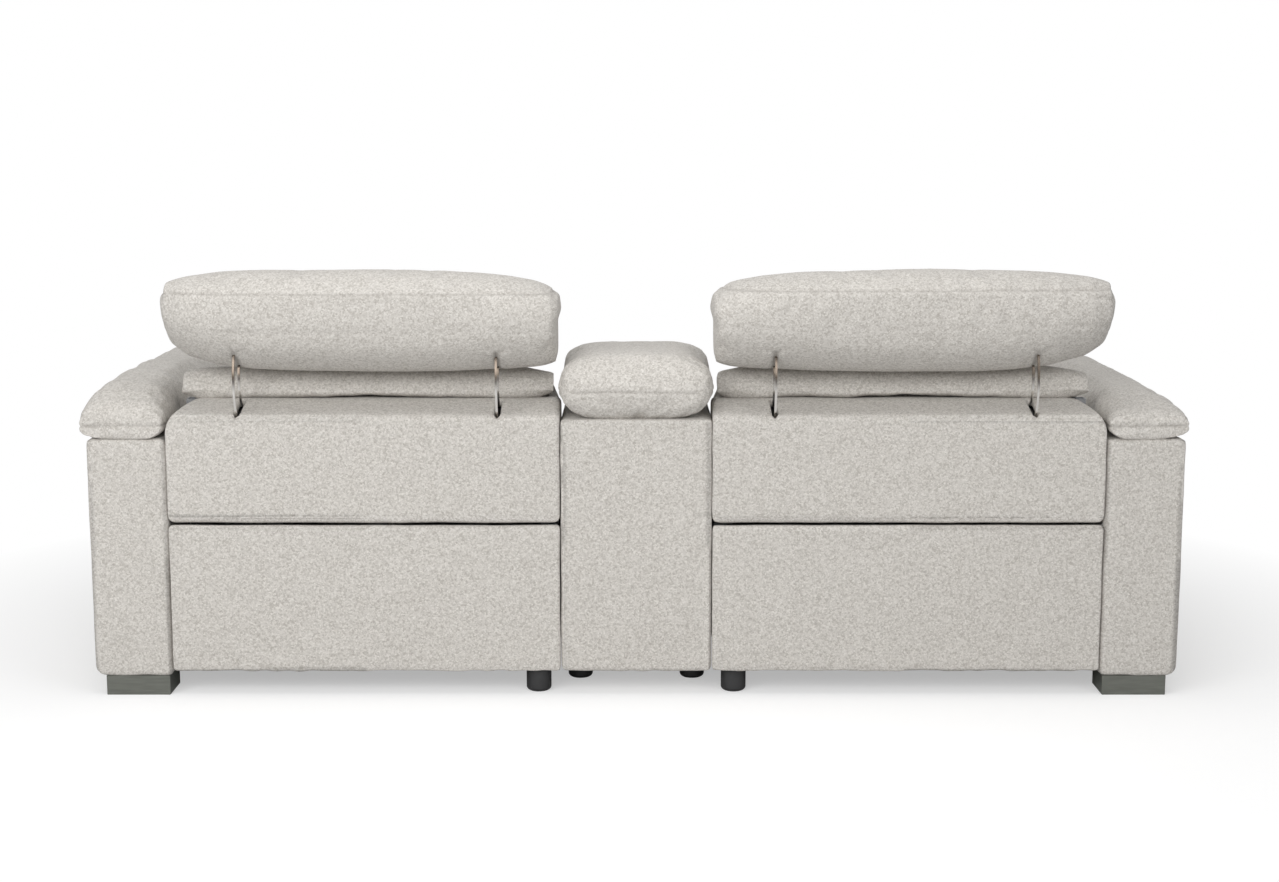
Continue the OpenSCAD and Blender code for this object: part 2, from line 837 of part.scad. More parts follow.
module rocker() {
  translate([0, 0, switch_z - rocker_h / 2])
    linear_extrude(rocker_h)
      polygon([
        [switch_wall_x + rocker_depth - rocker_sink, switch_y - rocker_l / 2 + rocker_gap],
        [switch_wall_x - rocker_proud, switch_y - rocker_l / 2 + rocker_gap],
        [switch_wall_x - rocker_mid_proud, switch_y],
        [switch_wall_x - rocker_proud, switch_y + rocker_l / 2 - rocker_gap],
        [switch_wall_x + rocker_depth - rocker_sink, switch_y + rocker_l / 2 - rocker_gap]
      ]);
  pin_upright(rocker_h / 2 + rocker_gap + rocker_pin_end / 2, rocker_pin_d);
}
module switch_plates() {
  color(black)
    for (side = [0, 1])
      mirror([side, 0, 0]) switch_plate();
}
module recline_switch_left() { color(gunmetal) rocker(); }
module recline_switch_right() { color(gunmetal) right_hand() rocker(); }

// Seat frame: four timber rails, butted, that slide forward as one
frame_inset = 6;
frame_front_in = 20;
frame_rear_over = 30;
frame_front = front_y + frame_front_in;
frame_rear = front_y + seat_depth + frame_rear_over;
frame_z0 = frame_z1 - seat_frame_h;
frame_x0 = seat_x0 + frame_inset;
frame_x1 = seat_x1 - frame_inset;
module seat_frame() {
  color(timber) {
    block([frame_x0, frame_front, frame_z0], [frame_x0 + rail_t, frame_rear, frame_z1]);
    block([frame_x1 - rail_t, frame_front, frame_z0], [frame_x1, frame_rear, frame_z1]);
    for (y = [frame_front, frame_rear - rail_t])
      block([frame_x0 + rail_t, y, frame_z0], [frame_x1 - rail_t, y + rail_t, frame_z1]);
  }
}
module seat_frame_left() { seat_frame(); }
module seat_frame_right() { right_hand() seat_frame(); }

// Zigzag springs: flat half rings joined end to end between the front and the rear rail
spring_in = 8;
spring_waves = 12;
spring_arm = 14;
spring_y0 = frame_front + rail_t;
spring_y1 = frame_rear - rail_t;
spring_bend_r = (spring_y1 - spring_y0) / (2 * spring_waves);
module spring_bend(r) {
  difference() {
    circle(r = r + spring_wire / 2);
    circle(r = r - spring_wire / 2);
    translate([-2 * r, -2 * r]) square([2 * r, 4 * r]);
  }
}
module zigzag_spring() {
  linear_extrude(spring_wire)
    for (i = [0 : spring_waves - 1])
      translate([0, spring_bend_r * (2 * i + 1)])
        mirror([i % 2, 0]) {
          translate([spring_arm / 2, 0]) spring_bend(spring_bend_r);
          for (end = [-1, 1])
            translate([-spring_arm / 2, end * spring_bend_r - spring_wire / 2])
              square([spring_arm, spring_wire]);
        }
}
module seat_springs() {
  color(spring_steel)
    intersection() {
      for (i = [1 : spring_count])
        translate([
          frame_x0 + rail_t + i * (frame_x1 - frame_x0 - 2 * rail_t) / (spring_count + 1),
          spring_y0, frame_z1 - spring_in - spring_wire
        ])
          zigzag_spring();
      block([frame_x0, spring_y0, frame_z0], [frame_x1, spring_y1, frame_z1]);
    }
}
module seat_springs_left() { seat_springs(); }
module seat_springs_right() { right_hand() seat_springs(); }

// Seat cushion: crowned, with a full rounded front and drawn-in sides
cushion_side_in = 2;
cushion_front_in = 12;
cushion_rear_over = 24;
cushion_front = front_y + cushion_front_in;
cushion_rear = front_y + seat_depth + cushion_rear_over;
seat_z0 = frame_z1 + soft_gap;
seat_rise = seat_height - seat_z0;
seat_run = cushion_rear - cushion_front;
seat_shares = [
  [0, 0.10], [0.05, 0], [0.99, 0], [1, 0.14],
  [0.99, 0.80], [0.88, 0.97], [0.50, 1.02], [0.13, 0.99],
  [0.012, 0.74], [-0.004, 0.44]
];
seat_outline = bend(
  [for (p = seat_shares) [cushion_front + p[0] * seat_run, seat_z0 + p[1] * seat_rise]], 1
);
seat_heart = [(cushion_front + cushion_rear) / 2, seat_z0];
seat_blunt_shares = [0.965, 0.72];
seat_powers = [4, 5];
seat_end = [seat_heart, seat_blunt_shares, seat_powers];
seat_stations = 16;
module seat_cushion() {
  color(fabric)
    shaped_pillow(
      seat_x0 + cushion_side_in, seat_x1 - cushion_side_in, seat_outline,
      [seat_end, seat_end], seat_stations
    );
}
module seat_cushion_left() { seat_cushion(); }
module seat_cushion_right() { right_hand() seat_cushion(); }

// Mechanism side plates, one inside each side rail, with rollers and the studs for links and back
plate_x0 = frame_x0 + rail_t;
plate_x1 = frame_x1 - rail_t;
link_pin_in = 160;
link_pin_y = front_y + link_pin_in;
link_pin_z = frame_z1 - link_drop;
rear_pin_drop = 38;
rear_pin_shift = 1;
rear_pin_y = link_pin_y - rear_pin_shift;
rear_pin_z = link_pin_z - rear_pin_drop;
link_lay = [for (i = [0 : 2]) plate_x0 + link_t + run_gap + i * (link_t + run_gap)];
back_axis_in = 150;
back_axis_drop = 31;
back_axis_y = rear_y - back_axis_in;
back_axis_z = shell_bottom - back_axis_drop;
back_lug_r = 26;
back_pin_d = 14;
plate_nose = 40;
plate_nose_r = 20;
roller_d = 26;
roller_w = 16;
roller_in = 90;
roller_y = [link_pin_y + roller_in, back_axis_y - roller_in];
stud_d = 14;
torque_tube_d = 25;
torque_tube_t = 2.5;
carriage_tube_in = 490;
carriage_tube_y = front_y + carriage_tube_in;
carriage_tube_drop = 47;
carriage_tube_z = link_pin_z - carriage_tube_drop;
plate_gap = 4;
plate_z0 = channel_z1 + plate_gap;

module side_plate() {
  along_x(plate_x0, plate_x0 + link_t)
    difference() {
      union() {
        soft_outline(
          [
            [link_pin_y - plate_nose, plate_z0], [back_axis_y, plate_z0],
            [back_axis_y, frame_z1 - over], [link_pin_y - plate_nose, frame_z1 - over]
          ],
          [plate_nose_r, block_edge_r, block_edge_r, plate_nose_r]
        );
        translate([back_axis_y, back_axis_z]) circle(r = back_lug_r);
        translate([back_axis_y - back_lug_r, plate_z0]) square([back_lug_r, back_axis_z - plate_z0]);
      }
      translate([frame_rear - rail_t - soft_gap, frame_z0 - soft_gap])
        square([rail_t + 2 * soft_gap, seat_frame_h + over]);
    }
  pin_x(plate_x0 + link_t, link_lay[2] + link_t - soft_gap, link_pin_y, link_pin_z, stud_d);
  pin_x(plate_x0 + link_t, link_lay[0] + link_t, rear_pin_y, rear_pin_z, pin_d);
  pin_x(frame_x0, plate_x0, back_axis_y, back_axis_z, back_pin_d);
  for (y = roller_y)
    pin_x(plate_x0 - roller_w, plate_x0, y, channel_z1 + soft_gap + roller_d / 2, roller_d);
}
module both_plates() {
  children();
  translate([2 * seat_mid, 0, 0]) mirror([1, 0, 0]) children();
}
module side_plates() {
  color(steel) {
    both_plates() side_plate();
    pin_x(plate_x0 + link_t, plate_x1 - link_t, carriage_tube_y, carriage_tube_z, torque_tube_d);
  }
}
module side_plates_left() { side_plates(); }
module side_plates_right() { right_hand() side_plates(); }

// Drive: a motor on the rear cross tube pushes the carriage by a rod that runs in a guide tube
drive_z = 150;
drive_guide_d = 36;
drive_guide_rear = 140;
drive_guide_front = 380;
drive_rod_d = 20;
drive_rod_rear = 150;
drive_rod_front = 460;
motor_w = 60;
motor_h = 70;
motor_l = 70;
motor_rear_y = rear_y - drive_guide_rear + motor_l;
clamp_w = 16;
clamp_r = 22;
lug_w = 10;
lug_r = 19;
module drive_motor() {
  color(black) {
    difference() {
      pin_y(rear_y - drive_guide_front, rear_y - drive_guide_rear, seat_mid, drive_z, drive_guide_d);
      pin_y(
        rear_y - drive_guide_front - over, rear_y - drive_guide_rear - over,
        seat_mid, drive_z, drive_rod_d + 2 * pin_play
      );
    }
    along_y(rear_y - drive_guide_rear, motor_rear_y)
      soft_outline(
        [
          [seat_mid - motor_w / 2, drive_z - motor_h / 2], [seat_mid + motor_w / 2, drive_z - motor_h / 2],
          [seat_mid + motor_w / 2, drive_z + motor_h / 2], [seat_mid - motor_w / 2, drive_z + motor_h / 2]
        ],
        [block_inset, block_inset, block_inset, block_inset]
      );
    difference() {
      along_x(seat_mid - clamp_w / 2, seat_mid + clamp_w / 2)
        union() {
          translate([cross_tube_rear_y, cross_tube_z]) circle(r = clamp_r);
          translate([motor_rear_y - over, cross_tube_z])
            square([cross_tube_rear_y - motor_rear_y + over, clamp_r]);
          translate([motor_rear_y - over, cross_tube_z])
            square([clamp_r, drive_z - cross_tube_z]);
        }
      pin_x(
        seat_mid - clamp_w, seat_mid + clamp_w,
        cross_tube_rear_y, cross_tube_z, cross_tube_d + 2 * pin_play
      );
    }
  }
}
module drive_rod() {
  color(chrome) {
    pin_y(rear_y - drive_rod_front, rear_y - drive_rod_rear, seat_mid, drive_z, drive_rod_d);
    difference() {
      along_x(seat_mid - lug_w / 2, seat_mid + lug_w / 2)
        bar([rear_y - drive_rod_front, drive_z], [carriage_tube_y, carriage_tube_z], 2 * lug_r);
      pin_x(
        seat_mid - lug_w, seat_mid + lug_w,
        carriage_tube_y, carriage_tube_z, torque_tube_d + 2 * pin_play
      );
    }
  }
}
module drive_motor_left() { drive_motor(); }
module drive_motor_right() { right_hand() drive_motor(); }
module drive_rod_left() { drive_rod(); }
module drive_rod_right() { right_hand() drive_rod(); }

// Places of the headrest and its two hinges
headrest_console_gap = 1;
headrest_x0 = console_pad_w / 2 + headrest_console_gap;
headrest_x1 = seat_x1 - headrest_side_gap;
headrest_mid = (headrest_x0 + headrest_x1) / 2;
hinge_mid = headrest_mid - hinge_shift;
hinge_places = [hinge_mid - hinge_pitch / 2, hinge_mid + hinge_pitch / 2];
neck_axis_y = rear_y - neck_axis_in;
slot_half = 7;
slot_y0 = 95;
slot_y1 = 9;

// Moving back shell: an upholstered moulding, open to the front, with a soft crease and a shelf
shell_front = rear_y - shell_depth;
shell_crease_r = 14;
shell_shelf_r = 6;
shell_front_r = 2;
shell_bottom_r = 14;
shell_inner_r = 10;
pocket_r = 6;
module shell_profile(inset) {
  soft_outline(
    [
      [shell_front - (inset > 0 ? shell_wall : 0), shell_bottom + inset],
      [rear_y - inset, shell_bottom + inset],
      [rear_y - inset, shell_crease - inset + inset * (shelf_top - shell_crease) / shelf_run],
      [rear_y - shelf_run, shelf_top - inset],
      [shell_front - (inset > 0 ? shell_wall : 0), shelf_top - inset]
    ],
    [
      shell_front_r, inset > 0 ? pocket_r : shell_low_r,
      inset > 0 ? pocket_r : shell_crease_r, shell_shelf_r, shell_front_r
    ]
  );
}
module shell_face(inset) {
  soft_outline(
    [
      [seat_x0 + inset, shell_bottom + inset], [seat_x1 - inset, shell_bottom + inset],
      [seat_x1 - inset, shelf_top - inset], [seat_x0 + inset, shelf_top - inset]
    ],
    [
      inset > 0 ? pocket_r : shell_bottom_r, inset > 0 ? pocket_r : shell_bottom_r,
      shell_corner_r - inset, inset > 0 ? pocket_r : shell_inner_r
    ]
  );
}
module back_shell() {
  color(fabric)
    difference() {
      intersection() {
        along_x(seat_x0, seat_x1) shell_profile(0);
        along_y(shell_front - over, rear_y + over) shell_face(0);
      }
      intersection() {
        along_x(seat_x0, seat_x1) shell_profile(shell_wall);
        along_y(shell_front - over, rear_y) shell_face(shell_wall);
      }
      for (x = hinge_places)
        block(
          [x - slot_half, rear_y - slot_y0, shell_crease - 2 * shell_wall],
          [x + slot_half, rear_y - slot_y1, shelf_top + over]
        );
    }
}
module back_shell_left() { back_shell(); }
module back_shell_right() { right_hand() back_shell(); }

// Back frame: square steel tubes, guide cheeks for the headrest bars and the pivot brackets
frame_tube = 25;
frame_tube_t = 2;
back_tube_d = 28;
back_frame_y1 = shell_front;
back_frame_y0 = back_frame_y1 - back_tube_d;
back_tube_in = 13;
back_tube_w = 22;
lug_lift = 4;
back_low_z0 = shell_bottom + lug_lift;
back_top_z1 = shelf_top - lug_lift;
back_x0 = seat_x0 + back_tube_in;
back_x1 = seat_x1 - back_tube_in;
bracket_t = 4;
bracket_r = 16;
cheek_t = 2.5;
cheek_gap = 0.5;
cheek_z0 = 64;
cheek_z1 = 19;
cheek_mid_z = 39;
cheek_rear = 20;
cheek_step = 90;
module back_frame() {
  color(steel) {
    for (z = [back_low_z0, back_top_z1 - frame_tube])
      difference() {
        block(
          [back_x0 + back_tube_w, back_frame_y0, z],
          [back_x1 - back_tube_w, back_frame_y1, z + frame_tube]
        );
        block(
          [back_x0 + back_tube_w - over, back_frame_y0 + frame_tube_t, z + frame_tube_t],
          [back_x1 - back_tube_w + over, back_frame_y1 - frame_tube_t, z + frame_tube - frame_tube_t]
        );
      }
    both_plates() {
      difference() {
        block([back_x0, back_frame_y0, back_low_z0], [back_x0 + back_tube_w, back_frame_y1, back_top_z1]);
        block(
          [back_x0 + frame_tube_t, back_frame_y0 + frame_tube_t, back_low_z0 - over],
          [back_x0 + back_tube_w - frame_tube_t, back_frame_y1 - frame_tube_t, back_top_z1 + over]
        );
      }
      difference() {
        along_x(back_x0 - bracket_t, back_x0)
          union() {
            translate([back_axis_y, back_axis_z]) circle(r = bracket_r);
            translate([back_frame_y0, back_axis_z])
              square([back_tube_d, back_low_z0 + frame_tube - back_axis_z]);
          }
        pin_x(
          back_x0 - bracket_t - over, back_x0 + over,
          back_axis_y, back_axis_z, back_pin_d + 2 * pin_play
        );
      }
    }
    for (x = hinge_places)
      for (side = [-1, 1])
        along_x(
          x + side * (bar_t / 2 + cheek_gap + cheek_t / 2) - cheek_t / 2,
          x + side * (bar_t / 2 + cheek_gap + cheek_t / 2) + cheek_t / 2
        )
          polygon([
            [back_frame_y1, shelf_top - cheek_z0], [rear_y - cheek_rear, shelf_top - cheek_z0],
            [rear_y - cheek_rear, shelf_top - cheek_mid_z], [rear_y - cheek_step, shelf_top - cheek_z1],
            [back_frame_y1, shelf_top - cheek_z1]
          ]);
  }
}
module back_frame_left() { back_frame(); }
module back_frame_right() { right_hand() back_frame(); }

// Back cushion: a lumbar roll, a leaning face, and a neck that reaches over the shell's shelf
back_face_in = 28;
neck_rear_in = 91;
back_cushion_lift = 12;
back_cushion_y1 = back_frame_y0 - 2 * soft_gap - lug_lift / 2;
back_cushion_z0 = seat_z0 + back_cushion_lift;
back_face_y = front_y + seat_depth + back_face_in;
neck_rear = rear_y - neck_rear_in;
neck_gap = 2;
back_heart = [back_cushion_y1, shelf_top + neck_gap];
back_fall = back_heart[1] - back_cushion_z0;
back_run = back_cushion_y1 - back_face_y;
neck_run = neck_rear - back_cushion_y1;
neck_rise = neck_axis_z - back_heart[1];
back_low_shares = [[0.02, 0], [0.94, 0], [1, 0.05]];
back_top_shares = [[0, -0.17], [0, 0.86], [-0.22, 1.12], [-0.90, 0.90]];
back_face_shares = [[0.15, 0.90], [-0.12, 0.66], [-0.11, 0.54], [0, 0.42], [0, 0.20]];
back_outline = bend(concat(
  [for (p = back_low_shares) [back_face_y + p[0] * back_run, back_cushion_z0 + p[1] * back_fall]],
  [for (p = back_top_shares) back_heart + [p[0] * neck_run, p[1] * neck_rise]],
  [for (p = back_face_shares) [back_face_y + p[0] * back_run, back_cushion_z0 + p[1] * back_fall]]
), 1);
back_blunt_shares = [0.95, 0.93];
back_powers = [5, 5];
back_end = [back_heart, back_blunt_shares, back_powers];
back_stations = 13;
module back_cushion() {
  color(fabric)
    shaped_pillow(
      headrest_x0 + headrest_console_gap, headrest_x1, back_outline,
      [back_end, back_end], back_stations
    );
}
module back_cushion_left() { back_cushion(); }
module back_cushion_right() { right_hand() back_cushion(); }

// Neck roll: padding sewn to the top of the back cushion, over the shelf and under the headrest
neck_shares = [
  [0, 0.10], [0.10, 0], [0.97, 0], [1, 0.16], [0.98, 0.62], [0.80, 1.04], [0.54, 1.32],
  [0.14, 1.28], [0, 1.14]
];
neck_outline = bend([
  for (p = neck_shares) back_heart + [soft_gap + p[0] * (neck_run - soft_gap), p[1] * neck_rise]
], 1);
module neck_roll() {
  color(fabric)
    shaped_pillow(
      headrest_x0 + headrest_console_gap, headrest_x1, neck_outline,
      [back_end, back_end], back_stations
    );
}
module neck_roll_left() { neck_roll(); }
module neck_roll_right() { right_hand() neck_roll(); }

// Headrest hinges: two curved bars each, about the neck axis, with notches near their hidden ends
bar_low = [-49, -49];
bar_high = [38, 38];
bar_radii = [bar_outer_r, bar_inner_r];
bar_eye_d = 15;
eye_step = 0.25;
bolt_d = 5;
bolt_head_d = 9;
bolt_head_h = 2.5;
notch_d = 3;
notch_first = -43;
notch_step = 3;
notch_count = 4;
function on_arc(r, angle) = [neck_axis_y + r * cos(angle), neck_axis_z + r * sin(angle)];
module headrest_bar(x, r, low, high) {
  difference() {
    union() {
      translate([x, neck_axis_y, neck_axis_z])
        rotate([0, 90, 0])
          rotate([0, 0, 90 + low])
            rotate_extrude(angle = high - low)
              translate([r - bar_t / 2, eye_step - bar_t / 2]) square([bar_t, bar_t - 2 * eye_step]);
      pin_x(x - bar_t / 2, x + bar_t / 2, on_arc(r, high)[0], on_arc(r, high)[1], bar_eye_d);
    }
    pin_x(x - bar_t, x + bar_t, on_arc(r, high)[0], on_arc(r, high)[1], bolt_d + 2 * pin_play);
    if (r == bar_outer_r)
      for (i = [0 : notch_count - 1])
        pin_x(
          x - bar_t, x + bar_t,
          on_arc(r + bar_t / 2, notch_first + i * notch_step)[0],
          on_arc(r + bar_t / 2, notch_first + i * notch_step)[1], notch_d
        );
  }
}
module headrest_bars() {
  color(chrome)
    for (x = hinge_places, k = [0, 1])
      headrest_bar(x, bar_radii[k], bar_low[k], bar_high[k]);
}
module headrest_bars_left() { headrest_bars(); }
module headrest_bars_right() { right_hand() headrest_bars(); }

// Steel brackets in the headrest that hold the bars' eyes between two cheeks with bolts
holder_t = 3;
holder_front = 52;
holder_rear = 112;
holder_low = 38;
holder_step = 70;
holder_mid = 66;
holder_high = 96;
module holder_cheek() {
  polygon([
    [neck_axis_y + holder_front, neck_axis_z + holder_low],
    [neck_axis_y + holder_step, neck_axis_z + holder_low],
    [neck_axis_y + holder_rear, neck_axis_z + holder_mid],
    [neck_axis_y + holder_rear, neck_axis_z + holder_high],
    [neck_axis_y + holder_front, neck_axis_z + holder_high]
  ]);
}
module headrest_brackets() {
  color(steel)
    for (x = hinge_places) {
      for (side = [-1, 1])
        difference() {
          along_x(
            x + side * (bar_t + holder_t) / 2 - holder_t / 2,
            x + side * (bar_t + holder_t) / 2 + holder_t / 2
          )
            holder_cheek();
        }
      block(
        [x - bar_t / 2, neck_axis_y + holder_front, neck_axis_z + holder_high - holder_t],
        [x + bar_t / 2, neck_axis_y + holder_rear, neck_axis_z + holder_high]
      );
      for (k = [0, 1]) {
        pin_x(
          x - bar_t / 2 - holder_t, x + bar_t / 2 + holder_t,
          on_arc(bar_radii[k], bar_high[k])[0], on_arc(bar_radii[k], bar_high[k])[1], bolt_d
        );
        for (side = [-1, 1])
          pin_x(
            x + side * (bar_t / 2 + holder_t + bolt_head_h / 2) - bolt_head_h / 2,
            x + side * (bar_t / 2 + holder_t + bolt_head_h / 2) + bolt_head_h / 2,
            on_arc(bar_radii[k], bar_high[k])[0], on_arc(bar_radii[k], bar_high[k])[1], bolt_head_d
          );
      }
    }
}
module headrest_brackets_left() { headrest_brackets(); }
module headrest_brackets_right() { right_hand() headrest_brackets(); }

// Headrest pad: deep, with a folded underside, and a pocket for each bracket
headrest_rear = rear_y + headrest_over;
headrest_tall = 225;
headrest_deep = 250;
headrest_top = neck_axis_z + headrest_tall;
headrest_front = headrest_rear - headrest_deep;
under_rise = 17.5;
pad_pocket_gap = 2;
headrest_shares = [
  [0.05, 0.07], [0.20, 0], [0.42, 0], [0.57, 0.005], [0.76, 0.15], [0.93, 0.33], [1, 0.47],
  [1, 0.78], [0.88, 0.95], [0.65, 1], [0.34, 0.975], [0.16, 0.83], [0, 0.34]
];
headrest_z0 = neck_axis_z + under_rise;
headrest_outline = bend([
  for (p = headrest_shares)
    [headrest_front + p[0] * headrest_deep, headrest_z0 + p[1] * (headrest_top - headrest_z0)]
], 1);
headrest_mid_y = (headrest_front + headrest_rear) / 2;
headrest_inner_heart = 30;
headrest_outer_heart = 56;
headrest_inner_shares = [0.80, 0.72];
headrest_outer_shares = [0.35, 0.10];
headrest_inner_powers = [4, 2.5];
headrest_outer_powers = [3, 4.2];
headrest_inner_end = [
  [headrest_mid_y, headrest_z0 + headrest_inner_heart], headrest_inner_shares, headrest_inner_powers
];
headrest_outer_end = [
  [headrest_mid_y, headrest_top - headrest_outer_heart], headrest_outer_shares, headrest_outer_powers
];
headrest_stations = 14;
module headrest_pad() {
  color(fabric)
    difference() {
      shaped_pillow(
        headrest_x0, headrest_x1, headrest_outline,
        [headrest_inner_end, headrest_outer_end], headrest_stations
      );
      for (x = hinge_places)
        block(
          [
            x - bar_t / 2 - holder_t - bolt_head_h - soft_gap,
            neck_axis_y + holder_front - pad_pocket_gap, headrest_z0 - over
          ],
          [
            x + bar_t / 2 + holder_t + bolt_head_h + soft_gap,
            neck_axis_y + bar_outer_r + bar_t / 2 + pad_pocket_gap, neck_axis_z + holder_high + soft_gap
          ]
        );
    }
}
module headrest_pad_left() { headrest_pad(); }
module headrest_pad_right() { right_hand() headrest_pad(); }

// Footrest links at rest: the lower and the rear link swing on the side plates, and the upper
// link joins their ends and carries the footrest. Angles are over the forward horizontal.
lower_rest = -168;
rear_rest = -162.3;
upper_rest = -28;
loop_shift_y = -0.4;
loop_shift_z = -1.1;
function reach(p, length, angle) = [p[0] - length * cos(angle), p[1] + length * sin(angle)];
pin_a = [link_pin_y, link_pin_z];
pin_b = [rear_pin_y, rear_pin_z];
pin_c = reach(pin_a, lower_link_l, lower_rest);
pin_e = reach(pin_b, rear_link_l, rear_rest);
pin_f = [pin_e[0] + loop_shift_y, pin_e[1] + loop_shift_z];
pin_g = reach(pin_c, upper_link_l, upper_rest);
module hole(lay, p, d) {
  pin_x(link_lay[lay] - over, link_lay[lay] + link_t + over, p[0], p[1], d);
}
module lower_links() {
  color(steel) {
    both_plates()
      difference() {
        along_x(link_lay[2], link_lay[2] + link_t) bar(pin_a, pin_c, link_w);
        hole(2, pin_a, stud_d + 2 * pin_play);
        hole(2, pin_c, pin_d + 2 * pin_play);
      }
    difference() {
      pin_x(
        link_lay[2] + link_t, 2 * seat_mid - link_lay[2] - link_t, pin_a[0], pin_a[1], torque_tube_d
      );
      pin_x(
        link_lay[2] + link_t - over, 2 * seat_mid - link_lay[2] - link_t + over,
        pin_a[0], pin_a[1], torque_tube_d - 2 * torque_tube_t
      );
    }
  }
}
module rear_links() {
  color(steel)
    both_plates()
      difference() {
        along_x(link_lay[0], link_lay[0] + link_t) bar(pin_b, pin_e, link_w);
        hole(0, pin_b, pin_d + 2 * pin_play);
        hole(0, pin_e, pin_d + 2 * loop_play);
      }
}
module upper_links() {
  color(steel)
    both_plates() {
      difference() {
        along_x(link_lay[1], link_lay[1] + link_t)
          union() {
            bar(pin_c, pin_g, link_w);
            bar(pin_c, pin_f, link_w);
          }
        hole(1, pin_g, pin_d + 2 * pin_play);
      }
      pin_x(link_lay[1] + link_t, link_lay[2] + link_t, pin_c[0], pin_c[1], pin_d);
      pin_x(link_lay[0], link_lay[1], pin_f[0], pin_f[1], pin_d);
    }
}
module lower_links_left() { lower_links(); }
module lower_links_right() { right_hand() lower_links(); }
module rear_links_left() { rear_links(); }
module rear_links_right() { right_hand() rear_links(); }
module upper_links_left() { upper_links(); }
module upper_links_right() { right_hand() upper_links(); }

// Footrest: a board with a pad in front, hung from the upper links by two steel ears
footrest_front_in = 10;
footrest_board_t = 18;
footrest_side_in = 6;
footrest_drop = 13;
footrest_corner_r = 14;
footrest_front = front_y + footrest_front_in;
board_y0 = footrest_front + footrest_pad_t;
board_y1 = board_y0 + footrest_board_t;
footrest_z1 = frame_z0 - footrest_drop;
footrest_z0 = footrest_z1 - footrest_h;
footrest_x0 = seat_x0 + footrest_side_in;
footrest_x1 = seat_x1 - footrest_side_in;
ear_r = 14;
ear_flange_w = 34;
ear_flange_t = 3;
ear_h = 90;
ear_low = 30;
ear_z0 = pin_g[1] - ear_low;
footrest_pad_stations = 14;
footrest_blunt_shares = [0.55, 0.90];
footrest_powers = [6, 6];
footrest_pad_shares = [
  [1, 0.10], [1, 0.90], [0.92, 0.985], [0.55, 1], [0.12, 0.90], [0, 0.70],
  [0, 0.30], [0.12, 0.10], [0.55, 0], [0.92, 0.015]
];
footrest_outline = bend([
  for (p = footrest_pad_shares)
    [
      footrest_front + p[0] * (footrest_pad_t - soft_gap),
      footrest_z0 + p[1] * footrest_h
    ]
], 1);
footrest_heart = [board_y0 - soft_gap, (footrest_z0 + footrest_z1) / 2];
footrest_end = [footrest_heart, footrest_blunt_shares, footrest_powers];
module footrest_board() {
  color(timber)
    along_y(board_y0, board_y1)
      soft_outline(
        [
          [footrest_x0, footrest_z0], [footrest_x1, footrest_z0],
          [footrest_x1, footrest_z1], [footrest_x0, footrest_z1]
        ],
        [footrest_corner_r, footrest_corner_r, footrest_corner_r, footrest_corner_r]
      );
}
module footrest_brackets() {
  color(steel)
    both_plates() {
      along_x(link_lay[2], link_lay[2] + link_t)
        union() {
          translate(pin_g) circle(r = ear_r);
          polygon([
            [pin_g[0], pin_g[1] + ear_r], [pin_g[0], pin_g[1] - ear_r],
            [board_y1, ear_z0], [board_y1, ear_z0 + ear_h]
          ]);
        }
      block(
        [link_lay[2] + link_t, board_y1, ear_z0],
        [link_lay[2] + link_t + ear_flange_w, board_y1 + ear_flange_t, ear_z0 + ear_h]
      );
      pin_x(link_lay[1], link_lay[2], pin_g[0], pin_g[1], pin_d);
    }
}
module footrest_pad() {
  color(fabric)
    shaped_pillow(
      footrest_x0, footrest_x1, footrest_outline,
      [footrest_end, footrest_end], footrest_pad_stations
    );
}
module footrest_board_left() { footrest_board(); }
module footrest_board_right() { right_hand() footrest_board(); }
module footrest_brackets_left() { footrest_brackets(); }
module footrest_brackets_right() { right_hand() footrest_brackets(); }
module footrest_pad_left() { footrest_pad(); }
module footrest_pad_right() { right_hand() footrest_pad(); }

arm_shell_left();
arm_shell_right();
arm_pad_left();
arm_pad_right();
block_feet();
round_feet();
base_rails();
base_tubes();
foot_plates();
rear_panel_left();
rear_panel_right();
console_shell();
console_bin();
cup_holders();
console_rear_pad();
lid_hinge();
switch_plates();
lid_board();
lid_leaf();
lid_pad();
recline_switch_left();
recline_switch_right();
seat_frame_left();
seat_frame_right();
seat_springs_left();
seat_springs_right();
seat_cushion_left();
seat_cushion_right();
side_plates_left();
side_plates_right();
drive_motor_left();
drive_motor_right();
drive_rod_left();
drive_rod_right();
back_frame_left();
back_frame_right();
back_shell_left();
back_shell_right();
back_cushion_left();
back_cushion_right();
neck_roll_left();
neck_roll_right();
headrest_bars_left();
headrest_bars_right();
headrest_brackets_left();
headrest_brackets_right();
headrest_pad_left();
headrest_pad_right();
lower_links_left();
lower_links_right();
rear_links_left();
rear_links_right();
upper_links_left();
upper_links_right();
footrest_board_left();
footrest_board_right();
footrest_brackets_left();
footrest_brackets_right();
footrest_pad_left();
footrest_pad_right();
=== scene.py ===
# %% [markdown]
# # A two-seat recliner sofa with a console, seen from behind
# The CAD model is the frame: every piece below is dressed onto it, in metres, in the same
# place. The frame is loaded first, and the box of the finished sofa is printed on the last lines.

# %% Load the frame
import bmesh
import bpy
import math
import numpy as np
from mathutils import Matrix, Vector


